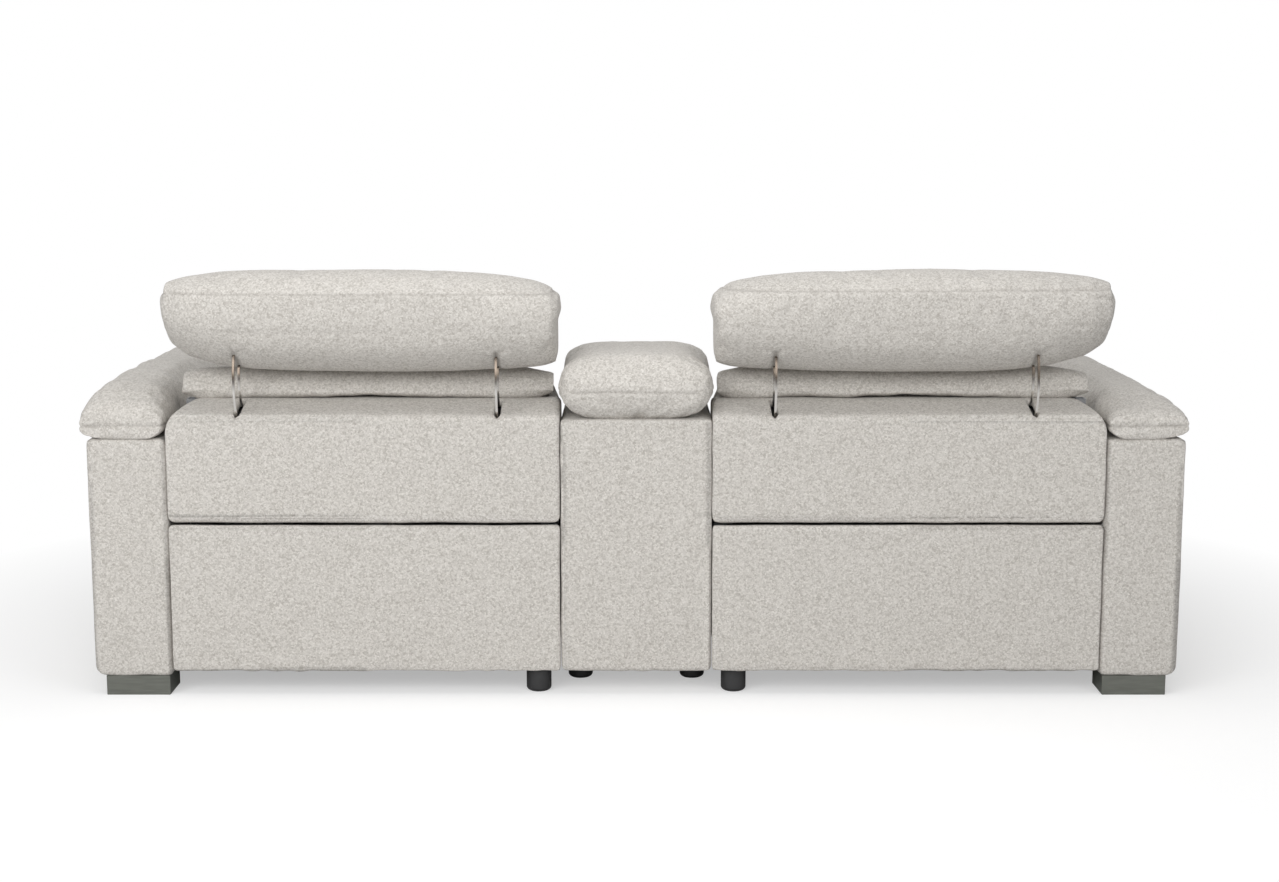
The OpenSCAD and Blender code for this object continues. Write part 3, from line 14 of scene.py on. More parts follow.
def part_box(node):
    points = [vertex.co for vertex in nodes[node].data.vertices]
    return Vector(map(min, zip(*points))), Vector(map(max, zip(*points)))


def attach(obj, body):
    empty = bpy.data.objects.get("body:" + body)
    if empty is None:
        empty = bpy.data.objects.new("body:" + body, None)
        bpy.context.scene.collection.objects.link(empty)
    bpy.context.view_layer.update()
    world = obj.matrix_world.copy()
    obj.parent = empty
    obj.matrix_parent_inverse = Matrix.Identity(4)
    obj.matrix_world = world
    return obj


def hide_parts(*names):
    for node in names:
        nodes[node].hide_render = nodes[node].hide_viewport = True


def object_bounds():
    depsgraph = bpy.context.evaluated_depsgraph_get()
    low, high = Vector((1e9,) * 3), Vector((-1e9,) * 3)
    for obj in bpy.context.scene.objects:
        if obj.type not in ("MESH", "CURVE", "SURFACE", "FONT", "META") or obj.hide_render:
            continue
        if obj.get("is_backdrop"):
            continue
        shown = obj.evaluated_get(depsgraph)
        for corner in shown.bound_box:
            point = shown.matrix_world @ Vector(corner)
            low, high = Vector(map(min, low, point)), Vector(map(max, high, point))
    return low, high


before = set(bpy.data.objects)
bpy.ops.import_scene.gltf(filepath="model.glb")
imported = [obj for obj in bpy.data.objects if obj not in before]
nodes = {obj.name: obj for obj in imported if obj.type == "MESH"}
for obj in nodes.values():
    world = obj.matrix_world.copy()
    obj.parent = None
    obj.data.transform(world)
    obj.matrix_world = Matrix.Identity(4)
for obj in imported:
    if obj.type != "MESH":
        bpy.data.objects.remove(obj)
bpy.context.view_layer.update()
scene = bpy.context.scene

# %% [markdown]
# ## The camera
# The picture was taken square on to the back of the sofa, from 4.45 m away and a little
# above the headrests. A long lens keeps the sides nearly parallel. The numbers come from
# matching the feet, the arms and the headrests to their places in the picture.

# %% Camera
PICTURE_WIDTH, FOCAL_PIXELS, SENSOR = 1279, 2000.0, 36.0
CAMERA_PLACE, CAMERA_PITCH = (-0.007, 4.450, 1.164), 8.95

camera_data = bpy.data.cameras.new("studio_camera")
camera_data.sensor_width = SENSOR
camera_data.lens = SENSOR * FOCAL_PIXELS / PICTURE_WIDTH
camera = bpy.data.objects.new("studio_camera", camera_data)
camera.location = CAMERA_PLACE
camera.rotation_euler = (math.radians(90 - CAMERA_PITCH), 0, math.radians(180))
scene.collection.objects.link(camera)
scene.camera = camera
print("lens:", round(camera_data.lens, 2), "mm")

# %% [markdown]
# ## Writing shader maths as Python
# A pattern is easier to read as an expression than as a web of nodes. `Field` wraps one
# output socket, and its operators add Math nodes. `Finish` owns a material's node tree,
# and its one method, `node`, adds any other kind of node.

# %% Shader helpers
class Field:
    """One value in a material's node tree, with Python's arithmetic."""

    def __init__(self, finish, socket):
        self.finish, self.socket = finish, socket

    def math(self, operation, *others):
        return self.finish.node("ShaderNodeMath", {"operation": operation},
                                dict(enumerate((self,) + others)))

    def __add__(self, other): return self.math("ADD", other)
    def __mul__(self, other): return self.math("MULTIPLY", other)
    def __sub__(self, other): return self.math("SUBTRACT", other)
    def __rsub__(self, other):
        return self.finish.node("ShaderNodeMath", {"operation": "SUBTRACT"}, {0: other, 1: self})
    __radd__, __rmul__ = __add__, __mul__


class Finish:
    """A material whose nodes are written as expressions."""

    def __init__(self, name, **constants):
        self.material = bpy.data.materials.new(name)
        self.material.use_nodes = True
        self.tree = self.material.node_tree
        self.shader = self.tree.nodes["Principled BSDF"]
        for socket, value in constants.items():
            self.shader.inputs[socket.replace("_", " ")].default_value = value
        self.place = self.node("ShaderNodeTexCoord", {}, {}, "Object")

    def node(self, kind, settings, inputs, output=0):
        made = self.tree.nodes.new(kind)
        for name, value in settings.items():
            if name == "stops":
                ramp = made.color_ramp
                while len(ramp.elements) < len(value):
                    ramp.elements.new(0.5)
                for element, (position, colour) in zip(ramp.elements, value):
                    element.position, element.color = position, colour
            else:
                setattr(made, name, value)
        for socket, value in inputs.items():
            if isinstance(value, Field):
                self.tree.links.new(value.socket, made.inputs[socket])
            else:
                made.inputs[socket].default_value = value
        return Field(self, made.outputs[output])

    def noise(self, scale, detail=2.0, place=None):
        return self.node("ShaderNodeTexNoise", {},
                         {"Vector": place or self.place, "Scale": scale, "Detail": detail})

    def stretched(self, factors):
        return self.node("ShaderNodeMapping", {}, {"Vector": self.place, "Scale": factors})

    def blend(self, factor, first, second):
        return self.node("ShaderNodeMix", {"data_type": "RGBA"},
                         {"Factor": factor, 6: first, 7: second}, 2)

    def bump(self, height, distance, strength=1.0):
        return self.node("ShaderNodeBump", {},
                         {"Height": height, "Distance": distance, "Strength": strength})

    def wire(self, **links):
        for name, value in links.items():
            self.tree.links.new(value.socket, self.shader.inputs[name.replace("_", " ")])
        return self.material


def linear(red, green, blue):
    """A colour as the eye names it, 0 to 255, made linear for the shader."""
    def one(v):
        v /= 255
        return v / 12.92 if v <= 0.04045 else ((v + 0.055) / 1.055) ** 2.4
    return (one(red), one(green), one(blue), 1.0)

# %% [markdown]
# ## The upholstery cloth
# The sofa wears a boucle: a warm pale grey cloth whose yarn makes little loops about three
# millimetres across, some a shade lighter or darker than the rest. Voronoi cells give the
# loops, bent by noise so that they look like yarn and not like pebbles, and a fine noise
# gives the fibres. The low ground between the loops is painted a little darker, as painted
# shade. An attribute called seam carries painted shade as well: a dark brown-grey at the
# bottom of each sewn line and in the slits for the bars, where shadow falls.

# %% Boucle
def make_boucle():
    cloth = Finish("boucle_cloth", Roughness=0.95, Sheen_Weight=0.12, Sheen_Roughness=0.6,
                   Specular_IOR_Level=0.15)
    wander = cloth.node("ShaderNodeTexNoise", {}, {"Vector": cloth.place, "Scale": 260.0,
                        "Detail": 1.0}, "Color")
    bent = cloth.node("ShaderNodeMix", {"data_type": "VECTOR", "clamp_factor": False},
                      {"Factor": 0.004, 4: cloth.place, 5: wander}, 1)
    loops = cloth.node("ShaderNodeTexVoronoi", {"feature": "F1"},
                       {"Vector": bent, "Scale": 340.0})
    tone = cloth.node("ShaderNodeTexVoronoi", {"feature": "F1"},
                      {"Vector": bent, "Scale": 340.0}, "Color")
    tone = cloth.node("ShaderNodeSeparateColor", {}, {"Color": tone}, "Red")
    fibre = cloth.noise(1300.0, 1.0)
    slubs = cloth.noise(150.0, 1.0)
    # Painted shade: taking loops away darkens the low ground between the loops, where shade
    # falls; tone, fibre and slubs are the yarn's own random tone.
    light = tone * 0.58 + fibre * 0.34 + slubs * 0.26 - loops * 0.32
    colour = cloth.node("ShaderNodeValToRGB", {"stops": [
        (0.08, linear(172, 167, 160)), (0.36, linear(197, 193, 187)),
        (0.62, linear(208, 204, 198)), (0.95, linear(226, 223, 218))]}, {"Fac": light})
    # Painted shade: where the seam attribute is high, the cloth turns dark brown-grey, the shadow
    # at the bottom of seams and slits.
    seam = cloth.node("ShaderNodeAttribute", {"attribute_name": "seam"}, {}, "Fac")
    shade = cloth.blend(seam * 0.5, colour, linear(118, 112, 106))
    height = (1.0 - loops) * 0.7 + fibre * 0.35
    normal = cloth.bump(height, 0.0008, 0.5)
    return cloth.wire(Base_Color=shade, Normal=normal)


boucle = make_boucle()
print("cloth:", boucle.name)

# %% [markdown]
# ## The hard finishes
# Only a few hard parts show: dark painted metal blocks and moulded black feet under the
# sofa, and polished bars at the headrests. Steel, ply, spring wire and the moulded liner
# are seen when the lid is up or a seat is out.

# %% Metals
def make_gunmetal():
    paint = Finish("painted_block", Metallic=0.55, Roughness=0.42)
    streaks = paint.noise(26.0, 5.0, paint.stretched((1.0, 1.0, 9.0)))
    grain = paint.noise(1400.0, 1.0)
    colour = paint.blend(streaks, linear(98, 100, 94), linear(126, 128, 121))
    return paint.wire(Base_Color=colour, Roughness=streaks * 0.2 + 0.32,
                      Normal=paint.bump(grain, 0.0002, 0.4))


PAINTED_SHADE_FROM, PAINTED_SHADE_ABOVE = 0.630, 0.662  # painted shade and reflection: the bars darken from the first height and are dark brown above the second


def make_polished_steel():
    steel = Finish("polished_bar", Metallic=1.0, Roughness=0.22)
    drawn = steel.noise(420.0, 3.0, steel.stretched((1.0, 1.0, 0.12)))
    bright = steel.blend(drawn, linear(226, 222, 217), linear(250, 248, 245))
    # Painted shade and painted reflection: near the top, where the bars go up under the headrest,
    # they turn a warm dark brown for its shadow and the cloth seen in them.
    painted_shade = steel.blend(drawn, linear(82, 74, 66), linear(116, 106, 96))
    height = steel.node("ShaderNodeSeparateXYZ", {}, {"Vector": steel.place}, 2)
    rise = steel.node("ShaderNodeMapRange", {},
                      {"Value": height, "From Min": PAINTED_SHADE_FROM, "From Max": PAINTED_SHADE_ABOVE})
    return steel.wire(Base_Color=steel.blend(rise, bright, painted_shade), Roughness=drawn * 0.14 + 0.13)


def make_zinc_steel():
    steel = Finish("zinc_steel", Metallic=0.9, Roughness=0.38)
    spangle = steel.noise(90.0, 4.0)
    fine = steel.noise(900.0, 2.0)
    colour = steel.blend(spangle, linear(118, 119, 121), linear(164, 165, 167))
    return steel.wire(Base_Color=colour, Roughness=fine * 0.25 + 0.26,
                      Normal=steel.bump(fine, 0.0001, 0.5))


def make_spring_wire():
    wire = Finish("spring_wire", Metallic=0.85, Roughness=0.35)
    tint = wire.noise(60.0, 3.0)
    colour = wire.blend(tint, linear(74, 72, 70), linear(112, 108, 102))
    return wire.wire(Base_Color=colour, Roughness=tint * 0.3 + 0.2)


def make_brushed_cup():
    cup = Finish("brushed_cup", Metallic=1.0, Roughness=0.3)
    rings = cup.noise(700.0, 3.0, cup.stretched((0.05, 0.05, 1.0)))
    colour = cup.blend(rings, linear(178, 178, 176), linear(214, 214, 212))
    return cup.wire(Base_Color=colour, Roughness=rings * 0.25 + 0.18)

# %% Timber and mouldings
def make_ply():
    ply = Finish("beech_ply", Roughness=0.6)
    rings = ply.noise(9.0, 6.0, ply.stretched((1.0, 14.0, 10.0)))
    pores = ply.noise(600.0, 2.0, ply.stretched((0.15, 1.0, 1.0)))
    colour = ply.node("ShaderNodeValToRGB", {"stops": [
        (0.25, linear(150, 117, 84)), (0.5, linear(186, 152, 114)),
        (0.75, linear(206, 176, 138))]}, {"Fac": rings * 0.8 + pores * 0.2})
    return ply.wire(Base_Color=colour, Roughness=pores * 0.3 + 0.45,
                    Normal=ply.bump(pores, 0.0003, 0.5))


def make_moulding(name, dark, light):
    plastic = Finish(name, Roughness=0.5)
    grain = plastic.noise(1100.0, 2.0)
    cloud = plastic.noise(22.0, 3.0)
    colour = plastic.blend(cloud, dark, light)
    return plastic.wire(Base_Color=colour, Roughness=cloud * 0.15 + 0.42,
                        Normal=plastic.bump(grain, 0.00025, 0.6))


def make_lining():
    lining = Finish("black_lining", Roughness=0.9)
    dots = lining.node("ShaderNodeTexVoronoi", {"feature": "F1"},
                       {"Vector": lining.place, "Scale": 520.0})
    cloud = lining.noise(30.0, 3.0)
    colour = lining.blend(cloud, linear(52, 50, 49), linear(70, 68, 66))
    return lining.wire(Base_Color=colour, Roughness=cloud * 0.1 + 0.82,
                       Normal=lining.bump(dots, 0.0004, 0.7))


gunmetal, polished, lining = make_gunmetal(), make_polished_steel(), make_lining()
zinc, wire, cup_metal, ply = make_zinc_steel(), make_spring_wire(), make_brushed_cup(), make_ply()
black_moulding = make_moulding("black_moulding", linear(36, 36, 37), linear(54, 54, 55))
grey_moulding = make_moulding("grey_moulding", linear(126, 127, 129), linear(150, 151, 153))
print("finishes:", sorted(m.name for m in bpy.data.materials if m.node_tree))

# %% [markdown]
# ## Putting a finish on the CAD parts
# The mechanism, the springs and the feet keep their CAD shape, which is exact already.
# They only need a finish in place of the plain colour they were packed with.

# %% Dress the CAD nodes
NODE_FINISH = {
    "block_feet": gunmetal, "round_feet": black_moulding, "headrest_bars": polished,
    "cup_holders": cup_metal, "console_bin": black_moulding, "switch_plates": black_moulding,
    "recline_switch": grey_moulding, "lid_board": lining, "seat_frame": ply,
    "footrest_board": lining, "seat_springs": wire, "drive_motor": black_moulding,
    "drive_rod": polished,
}


def part_of(name):
    for side in ("_left", "_right"):
        name = name.removesuffix(side)
    return name


for name, node in nodes.items():
    node.data.materials.clear()
    node.data.materials.append(NODE_FINISH.get(part_of(name), zinc))
print("dressed:", len(nodes), "CAD nodes")

# %% [markdown]
# ## Tools for soft pieces
# Each cushion starts as a copy of its CAD form. The copy is given an even skin of small
# squares (a voxel remesh), blown up a little by Blender's cloth solver with its seams held
# still, and then subdivided. The seams are pressed in last, because a remesh would rub
# them out. `points` and `place_points` read and write all vertices at once.

# %% Mesh helpers
def only(piece):
    if bpy.context.object and bpy.context.object.mode != "OBJECT":
        bpy.ops.object.mode_set(mode="OBJECT")
    bpy.ops.object.select_all(action="DESELECT")
    piece.select_set(True)
    bpy.context.view_layer.objects.active = piece


def points(piece):
    flat = np.empty(len(piece.data.vertices) * 3, np.float32)
    piece.data.vertices.foreach_get("co", flat)
    return flat.reshape(-1, 3).astype(float)


def place_points(piece, places):
    piece.data.vertices.foreach_set("co", places.astype(np.float32).ravel())
    piece.data.update()


def outward(piece):
    flat = np.empty(len(piece.data.vertices) * 3, np.float32)
    piece.data.vertex_normals.foreach_get("vector", flat)
    return flat.reshape(-1, 3).astype(float)


def apply(piece, kind, **settings):
    only(piece)
    modifier = piece.modifiers.new(kind.title(), kind)
    for name, value in settings.items():
        setattr(modifier, name, value)
    bpy.ops.object.modifier_apply(modifier=modifier.name)


DOUBLE = 0.00005  # points nearer than this are one point


def copied(piece_name, *node_names):
    """One new piece with the form of one or more CAD nodes."""
    joined = bmesh.new()
    for node_name in node_names:
        joined.from_mesh(nodes[node_name].data)
    piece = bpy.data.objects.new(piece_name, bpy.data.meshes.new(piece_name))
    joined.to_mesh(piece.data)
    joined.free()
    scene.collection.objects.link(piece)
    only(piece)
    bpy.ops.object.mode_set(mode="EDIT")
    bpy.ops.mesh.select_all(action="SELECT")
    bpy.ops.mesh.remove_doubles(threshold=DOUBLE)
    bpy.ops.mesh.normals_make_consistent(inside=False)
    bpy.ops.object.mode_set(mode="OBJECT")
    piece.data.materials.clear()
    piece.data.materials.append(boucle)
    return piece


def closed_slots(piece, centres, half_width, y_low, y_high):
    """Takes a slot's walls out of a copied pad and closes the cloth over its mouth."""
    mesh = bmesh.new()
    mesh.from_mesh(piece.data)
    walls = []
    for face in mesh.faces:
        place = face.calc_center_median()
        if y_low < place.y < y_high and any(abs(place.x - x) < half_width for x in centres):
            walls.append(face)
    bmesh.ops.delete(mesh, geom=walls, context="FACES")
    rims = [edge for edge in mesh.edges if len(edge.link_faces) == 1]
    bmesh.ops.holes_fill(mesh, edges=rims, sides=0)
    bmesh.ops.triangulate(mesh, faces=mesh.faces[:])
    bmesh.ops.recalc_face_normals(mesh, faces=mesh.faces[:])
    print("closed:", piece.name, len(walls), "wall faces, rims", len(rims))
    mesh.to_mesh(piece.data)
    mesh.free()
    return piece


def skinned(piece, square):
    only(piece)
    piece.data.remesh_voxel_size = square
    bpy.ops.object.voxel_remesh()
    return piece


def mirrored(piece, name):
    twin = bpy.data.objects.new(name, piece.data.copy())
    scene.collection.objects.link(twin)
    twin.data.transform(Matrix.Scale(-1, 4, (1, 0, 0)))
    twin.data.flip_normals()
    return twin

# %% Waves for lumps and wrinkles
HILLS, HILL_SCALE = 9, 4.2


def waves(places, length, seed, stretch=(1, 1, 1)):
    """A smooth random field from -1 to 1, whose hills are about `length` metres apart."""
    draw = np.random.default_rng(seed)
    total = np.zeros(len(places))
    for _ in range(HILLS):
        way = draw.normal(size=3)
        way /= np.linalg.norm(way)
        total += np.sin(places * stretch @ way * (2 * math.pi / length * draw.uniform(0.7, 1.4))
                        + draw.uniform(0, 2 * math.pi))
    return total / HILL_SCALE


def near(distance, width):
    return np.exp(-(distance / width) ** 2)


def step(value, low, high):
    """0 below `low`, 1 above `high`, and a smooth climb between them."""
    t = np.clip((value - low) / (high - low), 0, 1)
    return t * t * (3 - 2 * t)

# %% Filling a cushion
PRESSURE, SLACK, FRAMES, SHRUNK_FIRST = 4.0, 0.02, 20, 0.6
SKIN_SQUARE = {"headrest": 0.0065, "back": 0.009, "seat": 0.010,
               "arm": 0.006, "console": 0.0055, "footrest": 0.007}
SWELL_CAP = {"headrest": 0.010, "back": 0.014, "seat": 0.014,
             "arm": 0.008, "console": 0.009, "footrest": 0.008}


def inflate(piece, cap, held):
    """Blows the piece up with the cloth solver, by `cap` metres at the most.

    It starts a little smaller, and the points for which `held` is true stay where they are.
    """
    start = points(piece)
    start -= outward(piece) * cap * SHRUNK_FIRST
    place_points(piece, start)
    modifier = piece.modifiers.new("Filling", "CLOTH")
    cloth = modifier.settings
    cloth.quality = 4
    cloth.use_pressure = True
    cloth.uniform_pressure_force = PRESSURE
    cloth.shrink_min = -SLACK
    cloth.effector_weights.gravity = 0
    group = piece.vertex_groups.new(name="held")
    group.add([int(i) for i in np.nonzero(held(start))[0]], 1.0, "REPLACE")
    cloth.vertex_group_mass = "held"
    modifier.point_cache.frame_start, modifier.point_cache.frame_end = 1, FRAMES
    for moment in range(1, FRAMES + 1):
        scene.frame_set(moment)
    solved = piece.evaluated_get(bpy.context.evaluated_depsgraph_get())
    flat = np.empty(len(start) * 3, np.float32)
    solved.data.vertices.foreach_get("co", flat)
    moved = flat.reshape(-1, 3) - start
    size = np.linalg.norm(moved, axis=1, keepdims=True) + 1e-9
    piece.modifiers.remove(modifier)
    piece.vertex_groups.clear()
    place_points(piece, start + moved * (cap * np.tanh(size / cap) / size))
    scene.frame_set(1)
    print("filled:", piece.name, "moved up to", round(float(size.max()) * 1000, 1), "mm")


def band(axis, level, half):
    """Picks the points within `half` metres of a sewn line."""
    return lambda places: np.abs(places[:, axis] - level) < half


def filled(piece, kind, held):
    """Makes a filled cover of a copied form: an even skin, pressure, and a finer mesh."""
    skinned(piece, SKIN_SQUARE[kind])
    inflate(piece, SWELL_CAP[kind], held)
    apply(piece, "SMOOTH", factor=0.5, iterations=3)
    apply(piece, "SUBSURF", levels=1, render_levels=1)
    return piece

# %% Sewing and settling
STITCH_LENGTH, LINE_LENGTH, PINCH, PINCH_WIDTH = 0.022, 0.35, 0.85, 0.0022


def paint_seam_shade(piece, strength):
    """Keeps how deep in a seam or slit each point lies, for the cloth's painted shade: the
    deeper, the darker.
    """
    layer = piece.data.attributes.get("seam") or piece.data.attributes.new(
        "seam", "FLOAT", "POINT")
    old = np.empty(len(piece.data.vertices), np.float32)
    layer.data.foreach_get("value", old)
    layer.data.foreach_set("value", np.maximum(old, strength).astype(np.float32))


def stitch(piece, axis, level, where=None, depth=0.0022, width=0.0028, seed=1, drift=0.0):
    """Presses a sewn line into the cloth where the piece crosses a plane, and paints shade into
    its groove.
    """
    places, normals = points(piece), outward(piece)
    line = level + drift * waves(places, LINE_LENGTH, seed + 40)
    away = places[:, axis] - line
    here = np.ones(len(places)) if where is None else where(places)
    places[:, axis] -= away * near(away, PINCH_WIDTH) * PINCH * here
    gather = 1.0 + 0.45 * waves(places, STITCH_LENGTH, seed)
    groove = near(away, width) * here
    swell = near(np.abs(away) - width * 3.2, width * 2.2) * here
    places += normals * (swell * 0.0007 * gather - groove * depth)[:, None]
    place_points(piece, places)
    # Painted shade along the bottom of the groove.
    paint_seam_shade(piece, groove * 0.55)


def settled(piece, lumps, length, seed):
    """Uneven filling: long soft hills over the whole piece, with lower, shorter ones on them."""
    places, normals = points(piece), outward(piece)
    rise = waves(places, length, seed) * lumps + waves(places, length / 3, seed + 9) * lumps * 0.3
    place_points(piece, places + normals * rise[:, None])


def fitted(piece, sign, inner, outer, reach=0.09):
    """Draws the two ends of a filled piece out until it runs from `inner` to `outer`.

    Both are distances from the sofa's middle, and `sign` is 1 on its left and -1 on its right.
    """
    low, high = sorted((sign * inner, sign * outer))
    places = points(piece)
    across = places[:, 0].copy()
    for end, way, tip in ((low, -1, across.min()), (high, 1, across.max())):
        places[:, 0] += (end - tip) * step(way * across, way * tip - reach, way * tip)
    place_points(piece, places)
    print("fitted:", piece.name, "ends moved", round((low - across.min()) * 1000, 1),
          round((high - across.max()) * 1000, 1), "mm")


def smooth_shaded(piece):
    only(piece)
    bpy.ops.object.shade_smooth()


def belongs(piece, body, *node_names, fill=None):
    """The piece rides on a body and stands for CAD nodes. The fill argument, how full a padded
    piece is, is not used.
    """
    smooth_shaded(piece)
    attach(piece, body)
    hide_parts(*node_names)


SIGN = {"left": 1, "right": -1}

# %% [markdown]
# ## Headrests
# Each headrest is a long pillow with a sewn line high on its back, and a soft fold where
# the back turns under. Two bars go up into it through small puckered slots. The left one
# is filled by the solver and copied across, and then each side gets folds of its own.

# %% Fill the headrest
HINGE_X = (0.282, 0.812)
HEADREST_SEAM = {"left": 0.833, "right": 0.840}
HEADREST_FOLD = {"left": 0.756, "right": 0.764}
SLOT_HALF, SLOT_Y = 0.0095, (0.360, 0.450)

headrest = closed_slots(copied("headrest_cover_left", "headrest_pad_left"),
                        HINGE_X, SLOT_HALF, *SLOT_Y)
filled(headrest, "headrest", band(2, HEADREST_SEAM["left"], 0.0035))
headrests = {"left": headrest, "right": mirrored(headrest, "headrest_cover_right")}

# %% Slits for the bars
BAR_MOUTHS = ((0.4370, 0.6950), (0.3855, 0.6680))  # (y, z) where the two bars go in
BAR_SLIT = {"beyond": 0.30, "depth": 0.005, "width": 0.0056}
CREASES, CREASE_DEPTH, TUG = 5, 0.0012, 0.0015


def slit(piece, x, mouths, beyond, depth, width):
    """Cuts a narrow slit into the cloth from one bar to the other, and a little beyond, and
    paints shade into it so that it reads dark.
    """
    places, normals = points(piece), outward(piece)
    start, end = (np.array((x, y, z)) for y, z in mouths)
    run = end - start
    share = np.clip((places - start) @ run / (run @ run), -beyond, 1)
    offset = places - start - share[:, None] * run
    reach = np.linalg.norm(offset, axis=1)
    cut = near(offset[:, 0], width) * near(reach, 2.2 * width)
    place_points(piece, places - normals * (depth * cut)[:, None])
    # Painted shade in the slit.
    paint_seam_shade(piece, 1.6 * cut)
    return offset, reach


def pucker(piece, x, seed):
    """The cloth is drawn in round a slit, with creases running out from it."""
    offset, reach = slit(piece, x, BAR_MOUTHS, **BAR_SLIT)
    places, normals = points(piece), outward(piece)
    angle = np.arctan2(offset[:, 2] + 0.5 * offset[:, 1], offset[:, 0])
    creases = CREASE_DEPTH * np.sin(angle * CREASES + seed) * near(reach - 0.020, 0.013)
    tug = TUG * near(reach, 0.030)
    place_points(piece, places - normals * (creases + tug)[:, None])

# %% Ends, folds and seams of the headrests
HEADREST_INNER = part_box("headrest_pad_left")[0][0]
HEADREST_OUTER = {"left": 0.963, "right": 0.969}
PLUMP, PLUMP_RUN, PLUMP_Z = 0.008, 0.06, (0.765, 0.800)
FOLD_DEPTH, FOLD_WIDTH = 0.0012, 0.007

for number, (side, piece) in enumerate(headrests.items()):
    sign = SIGN[side]
    fitted(piece, sign, HEADREST_INNER, HEADREST_OUTER[side])
    places = points(piece)
    end = step(-sign * places[:, 0], -HEADREST_INNER - PLUMP_RUN, -HEADREST_INNER)
    places[:, 0] -= sign * PLUMP * end * step(places[:, 2], *PLUMP_Z)
    place_points(piece, places)
    settled(piece, 0.0010, 0.30, seed=11 + number)
    places, normals = points(piece), outward(piece)
    fold = HEADREST_FOLD[side] + 0.004 * waves(places, 0.5, 31 + number)
    rear = step(places[:, 1], 0.43, 0.46)
    crease = (near(places[:, 2] - fold, FOLD_WIDTH) * rear
              * (0.8 + 0.4 * waves(places, 0.13, 5 + number)))
    place_points(piece, places - normals * (FOLD_DEPTH * crease)[:, None])
    stitch(piece, 2, HEADREST_SEAM[side], seed=21 + number, drift=0.0008, depth=0.0011)
    for x in HINGE_X:
        pucker(piece, sign * x, seed=number + x * 9)
    belongs(piece, "headrest_" + side, "headrest_pad_" + side, fill=0.75)
print("headrest faces:", len(headrest.data.polygons))

# %% [markdown]
# ## Back cushions
# The back cushion fills the recliner's back from the seat up, and a thick neck roll is sewn
# to its top. The roll is what is seen from behind, under the headrest. The front has one
# sewn channel at the small of the back. Behind, the roll is gathered where it meets the shell.

# %% Fill the back cushion
WAIST, CHANNEL = 0.505, 0.622
back = copied("back_cover_left", "back_cushion_left", "neck_roll_left")
filled(back, "back", lambda p: band(2, WAIST, 0.006)(p) & (p[:, 1] < 0.22))
backs = {"left": back, "right": mirrored(back, "back_cover_right")}

# %% Ends, channels and tucks of the back cushions
NECK_DROP, NECK_RISE, NECK_TUCK = 0.0045, 0.0025, 0.0010
END_ROOM = 0.002
BACK_INNER, BACK_OUTER = (corner[0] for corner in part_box("back_cushion_left"))


def front(places):
    """1 on the front of the back cushion, 0 behind."""
    return 1 - step(places[:, 1], 0.20, 0.24)


for number, (side, piece) in enumerate(backs.items()):
    fitted(piece, SIGN[side], BACK_INNER + END_ROOM, BACK_OUTER - END_ROOM)
    settled(piece, 0.0022, 0.22, seed=51 + number)
    stitch(piece, 2, WAIST, where=front, depth=0.008, width=0.006, seed=61 + number)
    stitch(piece, 2, CHANNEL, where=front, depth=0.003, seed=65 + number)
    places, normals = points(piece), outward(piece)
    neck = step(places[:, 1], 0.30, 0.32) * near(places[:, 2] - 0.608, 0.020)
    tucks = waves(places, 0.060, 71 + number, (1, 0, 0.15)) * NECK_TUCK
    places += normals * (neck * tucks)[:, None]
    places[:, 2] -= NECK_DROP * neck
    crest = step(places[:, 1], 0.24, 0.29) * step(places[:, 2], 0.630, 0.665)
    places[:, 2] += NECK_RISE * crest
    place_points(piece, places)
    belongs(piece, "back_" + side, "back_cushion_" + side, "neck_roll_" + side, fill=0.65)
print("back cushion faces:", len(back.data.polygons))

# %% [markdown]
# ## Seat cushions
# A thick foam seat under a soft wrap: it crowns in the middle and rolls over at the front.
# A boxed cushion has a sewn line all round, just under its top.

# %% Seat cushions
SEAT_SEAM = 0.446
seat = filled(copied("seat_cover_left", "seat_cushion_left"), "seat", band(2, SEAT_SEAM, 0.006))
seats = {"left": seat, "right": mirrored(seat, "seat_cover_right")}

for number, (side, piece) in enumerate(seats.items()):
    settled(piece, 0.0030, 0.26, seed=81 + number)
    stitch(piece, 2, SEAT_SEAM, depth=0.004, width=0.004, seed=91 + number, drift=0.002)
    belongs(piece, "seat_" + side, "seat_cushion_" + side, fill=0.7)
print("seat cushion faces:", len(seat.data.polygons))

# %% [markdown]
# ## Arm pads
# A soft roll lies along the top of each arm and hangs a little over its outer face. The
# picture shows its end, with a sewn line round it and a shallow dent in its top. The roll on
# the picture's left is the fuller of the two.

# %% Arm pads
ARM_SEAM, ARM_FULLNESS = 0.563, {"left": 1.11, "right": 0.73}
ARM_OUTER, ARM_REACH = {"left": 1.134, "right": 1.127}, {"left": 0.11, "right": 0.05}
ARM_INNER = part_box("arm_pad_left")[0][0]
DENT_PLACE, DENT_SIZE = (1.035, 0.40), (0.030, 0.06)
DENT_DEPTH = {"left": 0.006, "right": 0.003}

arm_pad = filled(copied("arm_cover_left", "arm_pad_left"), "arm", band(2, ARM_SEAM, 0.0035))
arm_pads = {"left": arm_pad, "right": mirrored(arm_pad, "arm_cover_right")}

